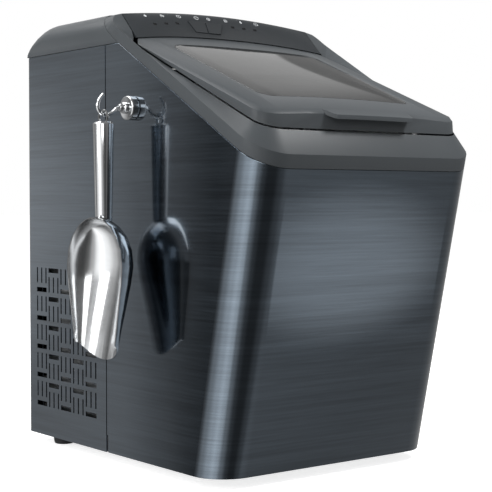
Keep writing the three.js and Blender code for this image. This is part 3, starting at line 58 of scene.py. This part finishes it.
# %% [markdown]
# ## The camera
#
# A long lens keeps the upright edges nearly parallel, as in a catalogue picture. The camera stands
# low, only just above the middle of the cabinet, and looks at its left front corner, so the side with
# the scoop and the leaning front both show. Its place is worked out from the floor and from the
# cabinet's middle, which keeps it right if the machine is ever made wider.

# %% Camera
base_low, base_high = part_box("base_pan")
cabinet_middle = (base_low[0] + base_high[0]) / 2
back_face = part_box("back_sheet")[1][1]
camera_turn = 37.98  # degrees
camera_tilt = 2.02
camera_left, camera_forward, camera_height = 0.6963, 1.0671, 0.2191
focal_length = 96.71  # millimetres, for a frame as wide as the sensor
sensor_width = 36.0


def add_camera():
    lens = bpy.data.cameras.new("studio_camera")
    lens.lens = focal_length
    lens.sensor_width = sensor_width
    camera = bpy.data.objects.new("studio_camera", lens)
    bpy.context.scene.collection.objects.link(camera)
    camera.location = (cabinet_middle - camera_left, back_face - camera_forward, camera_height)
    camera.rotation_euler = (radians(90 - camera_tilt), 0.0, radians(-camera_turn))
    bpy.context.scene.camera = camera
    return camera


camera = add_camera()
print("camera at", [round(v, 3) for v in camera.location])

# %% [markdown]
# ## Working habits
#
# Most tools act on whatever is selected, so a few helpers keep the selection tidy. `only` selects one
# object. `settle` moves an object's place and turn into its mesh. `softened` makes a working copy of a
# solid part: its loose triangles are merged and flat areas joined up again, so that a bevel can run
# along the real edges and leave the thin line of light that a moulded or folded edge has.

# %% Helpers for pieces
def only(piece):
    bpy.ops.object.select_all(action="DESELECT")
    piece.select_set(True)
    bpy.context.view_layer.objects.active = piece


def settle(piece):
    only(piece)
    bpy.ops.object.transform_apply(location=True, rotation=True, scale=True)


merge_distance = 0.00001
flat_within = radians(0.6)  # faces this near to one plane become one face
bevel_from = radians(35)  # only edges sharper than this are bevelled
smooth_to = radians(24)  # edges blunter than this are shaded smooth


def bevelled(piece, width):
    only(piece)
    soft = piece.modifiers.new("soft_edges", "BEVEL")
    soft.width = width
    soft.segments = 2
    soft.limit_method = "ANGLE"
    soft.angle_limit = bevel_from
    bpy.ops.object.modifier_apply(modifier=soft.name)


def softened(node, body, width):
    piece = nodes[node].copy()
    piece.data = nodes[node].data.copy()
    piece.name = node + "_finished"
    piece.parent = None
    piece.matrix_world = Matrix.Identity(4)
    bpy.context.scene.collection.objects.link(piece)
    only(piece)
    bpy.ops.object.mode_set(mode="EDIT")
    bpy.ops.mesh.select_all(action="SELECT")
    bpy.ops.mesh.remove_doubles(threshold=merge_distance)
    bpy.ops.mesh.dissolve_limited(angle_limit=flat_within)
    bpy.ops.object.mode_set(mode="OBJECT")
    if width:
        bevelled(piece, width)
    only(piece)
    bpy.ops.object.shade_smooth_by_angle(angle=smooth_to)
    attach(piece, body)
    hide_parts(node)
    return piece


# %% [markdown]
# ## Shared shader effects
#
# Three effects turn up in several finishes, so each is a node group with named inputs and outputs.
# Brushing is noise stretched along the way the sheet was rubbed. Moulded grain is the fine pebble
# pattern of a spark-eroded mould. Handling is the broad, faint change in gloss that comes from wiping
# and touching. A group only puts out values; the shader itself stays in each material.

# %% Helpers for shader nodes
def new_group(name, inputs, outputs):
    group = bpy.data.node_groups.new(name, "ShaderNodeTree")
    for label, kind, value in inputs:
        socket = group.interface.new_socket(label, in_out="INPUT", socket_type=kind)
        if value is not None:
            socket.default_value = value
    for label, kind in outputs:
        group.interface.new_socket(label, in_out="OUTPUT", socket_type=kind)
    return group, group.nodes.new("NodeGroupInput"), group.nodes.new("NodeGroupOutput")


def math_node(tree, operation, first, second):
    node = tree.nodes.new("ShaderNodeMath")
    node.operation = operation
    for socket, value in zip(node.inputs, (first, second)):
        if isinstance(value, (int, float)):
            socket.default_value = value
        else:
            tree.links.new(value, socket)
    return node.outputs[0]


def range_node(tree, value, low, high):
    node = tree.nodes.new("ShaderNodeMapRange")
    tree.links.new(value, node.inputs["Value"])
    for label, bound in (("To Min", low), ("To Max", high)):
        if isinstance(bound, (int, float)):
            node.inputs[label].default_value = bound
        else:
            tree.links.new(bound, node.inputs[label])
    return node.outputs["Result"]


# %% Brushing
def make_brushing():
    group, given, result = new_group("brushing", [
        ("Vector", "NodeSocketVector", None), ("Stretch", "NodeSocketVector", (3.0, 3.0, 900.0)),
        ("Low", "NodeSocketFloat", 0.3), ("High", "NodeSocketFloat", 0.45),
    ], [("Roughness", "NodeSocketFloat"), ("Shade", "NodeSocketFloat"), ("Height", "NodeSocketFloat")])
    stretch = group.nodes.new("ShaderNodeVectorMath")
    stretch.operation = "MULTIPLY"
    group.links.new(given.outputs["Vector"], stretch.inputs[0])
    group.links.new(given.outputs["Stretch"], stretch.inputs[1])
    fine = group.nodes.new("ShaderNodeTexNoise")
    fine.inputs["Scale"].default_value = 1.0
    fine.inputs["Detail"].default_value = 3.0
    fine.inputs["Roughness"].default_value = 0.7
    group.links.new(stretch.outputs[0], fine.inputs["Vector"])
    coarse = group.nodes.new("ShaderNodeTexNoise")
    coarse.inputs["Scale"].default_value = 0.23
    coarse.inputs["Detail"].default_value = 2.0
    group.links.new(stretch.outputs[0], coarse.inputs["Vector"])
    mixed = math_node(group, "ADD", math_node(group, "MULTIPLY", fine.outputs["Fac"], 0.6),
                      math_node(group, "MULTIPLY", coarse.outputs["Fac"], 0.4))
    group.links.new(range_node(group, mixed, given.outputs["Low"], given.outputs["High"]),
                    result.inputs["Roughness"])
    group.links.new(range_node(group, mixed, 0.0, 1.0), result.inputs["Shade"])
    group.links.new(mixed, result.inputs["Height"])
    return group


brushing = make_brushing()


# %% Moulded grain and handling
def make_grain():
    group, given, result = new_group("moulded_grain", [
        ("Vector", "NodeSocketVector", None), ("Scale", "NodeSocketFloat", 1400.0),
    ], [("Height", "NodeSocketFloat")])
    pebble = group.nodes.new("ShaderNodeTexNoise")
    pebble.inputs["Detail"].default_value = 2.0
    group.links.new(given.outputs["Vector"], pebble.inputs["Vector"])
    group.links.new(given.outputs["Scale"], pebble.inputs["Scale"])
    group.links.new(pebble.outputs["Fac"], result.inputs["Height"])
    return group


def make_handling():
    group, given, result = new_group("handling", [
        ("Vector", "NodeSocketVector", None), ("Scale", "NodeSocketFloat", 14.0),
        ("Low", "NodeSocketFloat", 0.4), ("High", "NodeSocketFloat", 0.5),
    ], [("Roughness", "NodeSocketFloat"), ("Shade", "NodeSocketFloat")])
    cloud = group.nodes.new("ShaderNodeTexNoise")
    cloud.inputs["Detail"].default_value = 5.0
    cloud.inputs["Roughness"].default_value = 0.6
    group.links.new(given.outputs["Vector"], cloud.inputs["Vector"])
    group.links.new(given.outputs["Scale"], cloud.inputs["Scale"])
    group.links.new(range_node(group, cloud.outputs["Fac"], given.outputs["Low"], given.outputs["High"]),
                    result.inputs["Roughness"])
    group.links.new(cloud.outputs["Fac"], result.inputs["Shade"])
    return group


moulded_grain = make_grain()
handling = make_handling()
print("shader groups:", brushing.name, moulded_grain.name, handling.name)


# %% Helpers for materials
def new_material(name, **settings):
    material = bpy.data.materials.new(name)
    material.use_nodes = True
    tree = material.node_tree
    shader = tree.nodes["Principled BSDF"]
    for label, value in settings.items():
        shader.inputs[label.replace("_", " ")].default_value = value
    return material, tree, shader


def place_group(tree, group, **settings):
    place = tree.nodes.new("ShaderNodeTexCoord")
    node = tree.nodes.new("ShaderNodeGroup")
    node.node_tree = group
    tree.links.new(place.outputs["Object"], node.inputs["Vector"])
    for label, value in settings.items():
        node.inputs[label].default_value = value
    return node


def tint(tree, shader, factor, dark, light):
    blend = tree.nodes.new("ShaderNodeMix")
    blend.data_type = "RGBA"
    blend.inputs["A"].default_value = (*dark, 1.0)
    blend.inputs["B"].default_value = (*light, 1.0)
    tree.links.new(factor, blend.inputs["Factor"])
    tree.links.new(blend.outputs["Result"], shader.inputs["Base Color"])


def bump(tree, shader, height, distance, strength=1.0):
    relief = tree.nodes.new("ShaderNodeBump")
    relief.inputs["Strength"].default_value = strength
    relief.inputs["Distance"].default_value = distance
    tree.links.new(height, relief.inputs["Height"])
    tree.links.new(relief.outputs["Normal"], shader.inputs["Normal"])


# %% [markdown]
# ## Dark stainless sheet
#
# The cabinet is stainless steel that was brushed level with the floor, coloured dark and then sealed
# with a clear coat. Two layers of gloss show at once: the brushed metal spreads reflections into soft
# bands, and the coat over it mirrors the scoop sharply. So the metal's roughness and colour follow
# fine level lines, a slight relief bends its reflections up and down, and the shader's coat is nearly
# smooth.

# %% Dark stainless sheet
def make_dark_steel():
    material, tree, shader = new_material("dark_stainless", Metallic=1.0, Coat_Weight=1.0,
                                          Coat_Roughness=0.03, Coat_IOR=1.5)
    lines = place_group(tree, brushing, Stretch=(10.0, 10.0, 480.0), Low=0.04, High=0.22)
    tree.links.new(lines.outputs["Roughness"], shader.inputs["Roughness"])
    tint(tree, shader, lines.outputs["Shade"], (0.017, 0.026, 0.037), (0.178, 0.225, 0.275))
    bump(tree, shader, lines.outputs["Height"], 0.00012, 0.5)
    return material


dark_stainless = make_dark_steel()


# %% [markdown]
# ## Moulded plastics
#
# The roof cap, the frame and the lid are one grey plastic with a satin face. The control panel is the
# same plastic from a duller mould, so it looks darker. Both have a grain too fine to see from afar,
# which still spreads their highlights, and a little unevenness in gloss from handling.

# %% Moulded plastics
def make_moulding(name, dark, light, low, high, grain=1400.0, depth=0.00001, **settings):
    material, tree, shader = new_material(name, **settings)
    touch = place_group(tree, handling, Low=low, High=high)
    tree.links.new(touch.outputs["Roughness"], shader.inputs["Roughness"])
    tint(tree, shader, touch.outputs["Shade"], dark, light)
    pebbles = place_group(tree, moulded_grain, Scale=grain)
    bump(tree, shader, pebbles.outputs["Height"], depth, 0.3)
    return material


satin_grey = make_moulding("satin_grey_moulding", (0.07, 0.078, 0.084), (0.087, 0.096, 0.104), 0.33, 0.43,
                          Specular_IOR_Level=0.22)
panel_grey = make_moulding("panel_grey_moulding", (0.036, 0.04, 0.044), (0.044, 0.049, 0.054), 0.45, 0.55,
                           Specular_IOR_Level=0.15)
black_moulding = make_moulding("black_moulding", (0.012, 0.012, 0.013), (0.02, 0.02, 0.022), 0.45, 0.6)
white_moulding = make_moulding("white_moulding", (0.7, 0.72, 0.73), (0.8, 0.81, 0.82), 0.38, 0.5)
frosted_moulding = make_moulding("frosted_moulding", (0.45, 0.5, 0.53), (0.6, 0.65, 0.68), 0.25, 0.35,
                                 Alpha=0.75)
dark_rubber = make_moulding("dark_rubber", (0.022, 0.023, 0.025), (0.036, 0.037, 0.04), 0.7, 0.85,
                            grain=900.0)
light_pipe = make_moulding("light_pipe", (0.008, 0.008, 0.009), (0.014, 0.014, 0.015), 0.12, 0.2)
symbol_white = make_moulding("symbol_white", (0.62, 0.64, 0.66), (0.7, 0.72, 0.74), 0.5, 0.6)
print("plastics ready")


# %% [markdown]
# ## Metals inside and on the hook
#
# The hook, its magnet and the scoop are polished stainless steel. Polish isn't perfect: very fine
# lines run round a drawn bowl and along a bent wire, which the brushing group gives when its stretch
# is small. Zinc plate, bare aluminium, copper and enamel fill the machine's inside.

# %% Metals
def make_metal(name, dark, light, low, high, stretch, depth=0.000005):
    material, tree, shader = new_material(name, Metallic=1.0)
    lines = place_group(tree, brushing, Stretch=stretch, Low=low, High=high)
    tree.links.new(lines.outputs["Roughness"], shader.inputs["Roughness"])
    tint(tree, shader, lines.outputs["Shade"], dark, light)
    bump(tree, shader, lines.outputs["Height"], depth, 0.2)
    return material


polished_steel = make_metal("polished_steel", (0.52, 0.53, 0.54), (0.66, 0.67, 0.68), 0.1, 0.2,
                            (200.0, 200.0, 900.0))
zinc_plate = make_metal("zinc_plate", (0.34, 0.35, 0.36), (0.5, 0.51, 0.52), 0.32, 0.5, (60.0, 60.0, 60.0))
bare_aluminium = make_metal("bare_aluminium", (0.5, 0.51, 0.52), (0.68, 0.69, 0.7), 0.25, 0.4,
                            (40.0, 300.0, 40.0))
drawn_copper = make_metal("drawn_copper", (0.6, 0.3, 0.17), (0.76, 0.42, 0.26), 0.2, 0.36,
                          (120.0, 120.0, 120.0))
black_enamel = make_moulding("black_enamel", (0.01, 0.01, 0.011), (0.016, 0.016, 0.018), 0.2, 0.3)
board_green = make_moulding("board_lacquer", (0.01, 0.07, 0.035), (0.02, 0.11, 0.055), 0.25, 0.35)
print("metals ready")


# %% [markdown]
# ## Smoked window
#
# The lid's window is a clear grey sheet. A real transparent shader shows the parts under it and takes
# the room's reflection on top. Light loses most of its strength on the way through, so the base
# colour is a dark grey.

# %% Smoked window
def make_window():
    material, tree, shader = new_material("smoked_window", Transmission_Weight=0.82, IOR=1.49,
                                          Base_Color=(0.13, 0.133, 0.133, 1.0))
    touch = place_group(tree, handling, Scale=20.0, Low=0.02, High=0.07)
    tree.links.new(touch.outputs["Roughness"], shader.inputs["Roughness"])
    return material


smoked_window = make_window()

# %% [markdown]
# ## Handing out the finishes
#
# Each material slot of the model takes one finish. Parts that show are given softened copies later,
# and a copy keeps the finish of the part it stands for.

# %% Finish of every part
finish_of_slot = {
    "dark_steel": dark_stainless, "grey_mould": satin_grey, "panel_mould": panel_grey,
    "smoked_window": smoked_window, "light_plastic": light_pipe, "circuit_board": board_green,
    "black_plastic": black_moulding, "white_plastic": white_moulding, "clear_plastic": frosted_moulding,
    "galvanised": zinc_plate, "black_enamel": black_enamel, "bare_aluminium": bare_aluminium,
    "copper": drawn_copper, "rubber": dark_rubber, "polished_steel": polished_steel,
}
slot_of_node = {part["node"]: part["material_slot"] for part in frame["record"]["subparts"]}
for name, part in nodes.items():
    part.data.materials.clear()
    part.data.materials.append(finish_of_slot[slot_of_node[name]])
print("finished", len(nodes), "parts in", len(finish_of_slot), "finishes")

# %% [markdown]
# ## Softening what shows
#
# Folded sheet has an outside radius of about its own thickness, and moulded covers have rounder
# edges, so each kind gets its own bevel. The front sheet and the roof are curved, and shading them
# smooth hides their facets.

# %% Softened parts
bodies = frame["record"]["behaviour"]["bodies"]
body_of_node = {name: body for body, group in bodies.items() for name in group}
edge_radius = {
    "front_wrap": 0.0003, "rear_cap": 0.0008, "top_frame": 0.0008, "lid_shell": 0.0008,
    "control_panel": 0.0002, "power_button": 0.0004, "select_button": 0.0004, "lid_window": 0.0003,
    "hook_magnet": 0.0006, "scoop_handle": 0.0005, "scoop_bowl": 0.0002, "hook": 0.0, "scoop_ring": 0.0,
    "foot_rear_left": 0.0008, "foot_rear_right": 0.0008, "foot_front_left": 0.0008,
    "foot_front_right": 0.0008, "compressor": 0.0006, "ice_basket": 0.0005, "water_tank": 0.0004,
    "drain_plug": 0.0005, "drain_spout": 0.0005, "power_inlet": 0.0004, "water_pump": 0.0005,
}
for name, radius in edge_radius.items():
    softened(name, body_of_node[name], radius)
print("softened", len(edge_radius), "parts")

# %% [markdown]
# ## Symbols on the controls
#
# Thin pale symbols are printed on the sloping panel: one over each small light and one over each half
# of the push plate. They are plain pictograms: rings, drops and cubes. Each is a flat shape drawn on
# level ground, given a paint's thickness, and then laid on the panel. A ray cast down at the panel
# finds the spot and the slope there, so the symbol sits true on the curve.

# %% Where the panel is
panel = nodes["control_panel"]
panel_faces = BVHTree.FromPolygons([panel.matrix_world @ v.co for v in panel.data.vertices],
                                   [tuple(face.vertices) for face in panel.data.polygons])
above_all = 0.6
paint_thickness = 0.00006
paint_lift = 0.00002


def panel_frame(across, back):
    start = Vector((across, back, above_all))
    place, normal, _, _ = panel_faces.ray_cast(start, Vector((0.0, 0.0, -1.0)))
    side = Vector((1.0, 0.0, 0.0))
    up = normal.cross(side).normalized()
    side = up.cross(normal).normalized()
    turn = Matrix((side, up, normal)).transposed().to_4x4()
    return Matrix.Translation(place) @ turn


def laid_on_panel(piece, across, back):
    only(piece)
    bpy.ops.object.mode_set(mode="EDIT")
    bpy.ops.mesh.select_all(action="SELECT")
    bpy.ops.mesh.extrude_region_move(TRANSFORM_OT_translate={"value": (0.0, 0.0, paint_thickness)})
    bpy.ops.mesh.select_all(action="SELECT")
    bpy.ops.mesh.normals_make_consistent(inside=False)
    bpy.ops.object.mode_set(mode="OBJECT")
    piece.matrix_world = panel_frame(across, back) @ Matrix.Translation((0.0, 0.0, paint_lift))
    settle(piece)
    piece.data.materials.append(symbol_white)
    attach(piece, body_of_node["control_panel"])


# %% Flat shapes
def flat_disc(radius, corners, turn):
    bpy.ops.object.select_all(action="DESELECT")
    bpy.ops.mesh.primitive_circle_add(vertices=corners, radius=radius, fill_type="NGON",
                                      rotation=(0.0, 0.0, turn))
    bpy.ops.object.transform_apply(rotation=True)
    bpy.ops.object.mode_set(mode="EDIT")
    return bpy.context.active_object


def flat_ring(radius, corners=24, turn=0.0):
    ring = flat_disc(radius, corners, turn)
    bpy.ops.mesh.inset(thickness=line_width, depth=0.0)
    bpy.ops.mesh.delete(type="ONLY_FACE")
    bpy.ops.object.mode_set(mode="OBJECT")
    return ring


def flat_blob(radius, corners, squeeze=1.0):
    blob = flat_disc(radius, corners, 0.0)
    bpy.ops.mesh.inset(thickness=radius * 0.2, depth=0.0)
    bpy.ops.mesh.select_all(action="SELECT")
    bpy.ops.transform.resize(value=(squeeze, 1.0, 1.0))
    bpy.ops.object.mode_set(mode="OBJECT")
    return blob


def joined(name, *shapes):
    bpy.ops.object.select_all(action="DESELECT")
    for shape in shapes:
        shape.select_set(True)
    bpy.context.view_layer.objects.active = shapes[0]
    bpy.ops.object.join()
    shapes[0].name = name
    return shapes[0]


def raised(shape, up):
    only(shape)
    bpy.ops.object.mode_set(mode="EDIT")
    bpy.ops.mesh.select_all(action="SELECT")
    bpy.ops.transform.translate(value=(0.0, up, 0.0))
    bpy.ops.object.mode_set(mode="OBJECT")
    return shape


# %% Printing the symbols
symbol_size = 0.0023
line_width = 0.0005
above_lights = 0.0034  # the row of symbols behind the row of lights
light_half = 0.0016  # half a light's width
plate_symbol_offset = 0.0065  # a symbol on the push plate, from the plate's middle


def cube_symbol(name):
    return joined(name, flat_ring(symbol_size * 0.9, 6, pi / 6), flat_blob(symbol_size * 0.35, 6))


def drop_symbol(name):
    tip = raised(flat_blob(symbol_size * 0.45, 3), symbol_size * 0.62)
    return joined(name, flat_blob(symbol_size * 0.55, 16), tip)


def ring_symbol(name):
    hand = raised(flat_blob(symbol_size * 0.4, 4, 0.4), symbol_size * 0.1)
    return joined(name, flat_ring(symbol_size), hand)


def light_places(node):
    low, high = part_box(node)
    return [low[0] + light_half + step * (high[0] - low[0] - 2 * light_half) / 2 for step in range(3)]


lights_low, lights_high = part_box("left_indicator_lights")
symbols_back = (lights_low[1] + lights_high[1]) / 2 + above_lights
plate_middle = (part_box("select_button")[0][0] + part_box("power_button")[1][0]) / 2
light_symbols = zip((drop_symbol, cube_symbol, ring_symbol, cube_symbol, drop_symbol, ring_symbol),
                    light_places("left_indicator_lights") + light_places("right_indicator_lights"))
plate_symbols = [(ring_symbol, plate_middle - plate_symbol_offset),
                 (cube_symbol, plate_middle + plate_symbol_offset)]
for label, row in (("symbol_%d", light_symbols), ("plate_symbol_%d", plate_symbols)):
    for count, (draw, across) in enumerate(row, 1):
        laid_on_panel(draw(label % count), across, symbols_back)
        print("printed", label % count)

# %% [markdown]
# ## Studio
#
# Shiny sheet shows the room more than its own colour, so the room is part of the finish. It is a pale
# floor and a sky of soft light: broad bright areas where big diffusers would stand, and darker gaps
# between them, which give the rounded corner its light and dark bands. The sky is laid out by
# compass direction, so it stays put when the camera moves.

# %% Helpers for the studio
def shade_of(tree, level):
    colour = tree.nodes.new("ShaderNodeRGB")
    colour.outputs[0].default_value = (level, level, level, 1.0)
    return colour.outputs[0]


def blend_colours(tree, factor, first, second):
    blend = tree.nodes.new("ShaderNodeMix")
    blend.data_type = "RGBA"
    tree.links.new(factor, blend.inputs["Factor"])
    tree.links.new(first, blend.inputs["A"])
    tree.links.new(second, blend.inputs["B"])
    return blend.outputs["Result"]


# %% Floor
floor_width = 30.0
floor_seen, floor_lights = 0.95, 0.3  # how pale the paper is to the camera, and to the light it throws
floor_glow = 0.7  # the camera sees the paper as bright as the wall


def add_floor():
    bpy.ops.object.select_all(action="DESELECT")
    bpy.ops.mesh.primitive_plane_add(size=1.0, location=(0.0, 0.0, 0.0))
    floor = bpy.context.active_object
    floor.name = "studio_floor"
    bpy.ops.object.mode_set(mode="EDIT")
    bpy.ops.mesh.subdivide(number_cuts=3)
    bpy.ops.transform.resize(value=(floor_width, floor_width, 1.0))
    bpy.ops.object.mode_set(mode="OBJECT")
    paper, tree, shader = new_material("floor_paper")
    fibres = place_group(tree, handling, Scale=3.0, Low=0.85, High=0.95)
    tree.links.new(fibres.outputs["Roughness"], shader.inputs["Roughness"])
    path = tree.nodes.new("ShaderNodeLightPath")
    seen = blend_colours(tree, path.outputs["Is Camera Ray"], shade_of(tree, floor_lights),
                         shade_of(tree, floor_seen))
    tree.links.new(seen, shader.inputs["Base Color"])
    glow = blend_colours(tree, path.outputs["Is Camera Ray"], shade_of(tree, 0.0),
                         shade_of(tree, floor_glow))
    tree.links.new(glow, shader.inputs["Emission Color"])
    shader.inputs["Emission Strength"].default_value = 1.0
    floor.data.materials.append(paper)
    floor.visible_glossy = False


add_floor()


# %% Sky of soft light
sky_round = [  # degrees round from the back by way of the left side, and brightness
    (0, 0.3), (25, 0.34), (33, 0.46), (38, 0.24), (40.5, 0.06), (45, 0.2), (60, 0.76),
    (85, 1.5), (101, 1.95), (112, 1.6), (127, 0.65), (145, 0.16), (158, 0.08), (175, 0.08),
    (196, 0.2), (210, 0.36), (240, 0.25), (300, 0.3), (360, 0.3),
]
sky_above = 0.3
rise_starts, rise_ends = 0.06, 0.4  # heights on the sky between which the ring gives way to `sky_above`
sky_peak = 4.0


def way_to(round_angle, rise_angle):
    flat = cos(radians(rise_angle))
    return (-sin(radians(round_angle)) * flat, cos(radians(round_angle)) * flat, sin(radians(rise_angle)))


# Round patches: where each one is, the angles where it starts and where it is full, and its brightness.
# The first lights the side's rear, the second the middle of the front, the third the window, and the
# last is a dark screen that cuts the third with a curved edge.
sky_patches = [
    (way_to(25, -0.5), 8, 0, 0.8), (way_to(223, -16), 12.5, 0, 0.95),
    ((0.28, 0.77, 0.57), 34, 26, 0.9), ((0.8, 0.5, 0.33), 14.2, 13.6, 0.3),
]


def facing(tree, direction, way, edge, core):
    dot = tree.nodes.new("ShaderNodeVectorMath")
    dot.operation = "DOT_PRODUCT"
    tree.links.new(direction, dot.inputs[0])
    dot.inputs[1].default_value = Vector(way).normalized()
    fade = tree.nodes.new("ShaderNodeMapRange")
    fade.interpolation_type = "SMOOTHSTEP"
    fade.inputs["From Min"].default_value = cos(radians(edge))
    fade.inputs["From Max"].default_value = cos(radians(core))
    tree.links.new(dot.outputs["Value"], fade.inputs["Value"])
    return fade.outputs["Result"]


def add_sky():
    world = bpy.data.worlds.new("studio_sky")
    bpy.context.scene.world = world
    world.use_nodes = True
    tree = world.node_tree
    background = tree.nodes["Background"]
    place = tree.nodes.new("ShaderNodeTexCoord")
    turn = tree.nodes.new("ShaderNodeMapping")
    turn.inputs["Rotation"].default_value = (0.0, 0.0, radians(90))
    tree.links.new(place.outputs["Generated"], turn.inputs["Vector"])
    sweep = tree.nodes.new("ShaderNodeTexGradient")
    sweep.gradient_type = "RADIAL"
    tree.links.new(turn.outputs["Vector"], sweep.inputs["Vector"])
    ramp = tree.nodes.new("ShaderNodeValToRGB")
    ramp.color_ramp.interpolation = "EASE"
    stops = ramp.color_ramp.elements
    while len(stops) < len(sky_round):
        stops.new(0.5)
    for stop, (at, level) in zip(stops, sky_round):
        stop.position = at / 360
        stop.color = (level / sky_peak, level / sky_peak, level / sky_peak, 1.0)
    tree.links.new(sweep.outputs["Fac"], ramp.inputs["Fac"])
    split = tree.nodes.new("ShaderNodeSeparateXYZ")
    tree.links.new(place.outputs["Generated"], split.inputs[0])
    rise = tree.nodes.new("ShaderNodeMapRange")
    rise.interpolation_type = "SMOOTHSTEP"
    rise.inputs["From Min"].default_value = rise_starts
    rise.inputs["From Max"].default_value = rise_ends
    tree.links.new(split.outputs["Z"], rise.inputs["Value"])
    direction = place.outputs["Generated"]
    dome = blend_colours(tree, rise.outputs["Result"], ramp.outputs["Color"],
                         shade_of(tree, sky_above / sky_peak))
    for way, edge, core, level in sky_patches:
        patch = facing(tree, direction, way, edge, core)
        dome = blend_colours(tree, patch, dome, shade_of(tree, level / sky_peak))
    tree.links.new(dome, background.inputs["Color"])
    background.inputs["Strength"].default_value = sky_peak
    plain = tree.nodes.new("ShaderNodeBackground")
    plain.inputs["Color"].default_value = (1.0, 1.0, 1.0, 1.0)
    path = tree.nodes.new("ShaderNodeLightPath")
    choice = tree.nodes.new("ShaderNodeMixShader")
    tree.links.new(path.outputs["Is Camera Ray"], choice.inputs["Fac"])
    tree.links.new(background.outputs["Background"], choice.inputs[1])
    tree.links.new(plain.outputs["Background"], choice.inputs[2])
    tree.links.new(choice.outputs["Shader"], tree.nodes["World Output"].inputs["Surface"])


add_sky()


# %% Soft lights
def add_softbox(name, place, aim, size, power):
    lamp = bpy.data.lights.new(name, "AREA")
    lamp.shape = "RECTANGLE"
    lamp.size, lamp.size_y = size
    lamp.energy = power
    box = bpy.data.objects.new(name, lamp)
    bpy.context.scene.collection.objects.link(box)
    box.location = place
    box.rotation_euler = (Vector(aim) - Vector(place)).to_track_quat("-Z", "Y").to_euler()


cabinet_heart = (0.0, 0.0, 0.2)
for name, place, aim, size, power in (
    ("overhead_softbox", (-0.8, 0.7, 1.6), cabinet_heart, (1.2, 1.2), 19.0),
    ("side_softbox", (-1.9, 0.1, 0.9), cabinet_heart, (0.8, 0.8), 10.0),
    ("floor_wash", (0.3, -0.42, 0.75), (0.26, -0.40, 0.0), (0.2, 0.2), 3.5),
    ("front_softbox", (-1.6, -1.6, 1.0), cabinet_heart, (0.9, 0.9), 8.0),
):
    add_softbox(name, place, aim, size, power)
bpy.context.scene.view_settings.view_transform = "Standard"
print("studio ready")
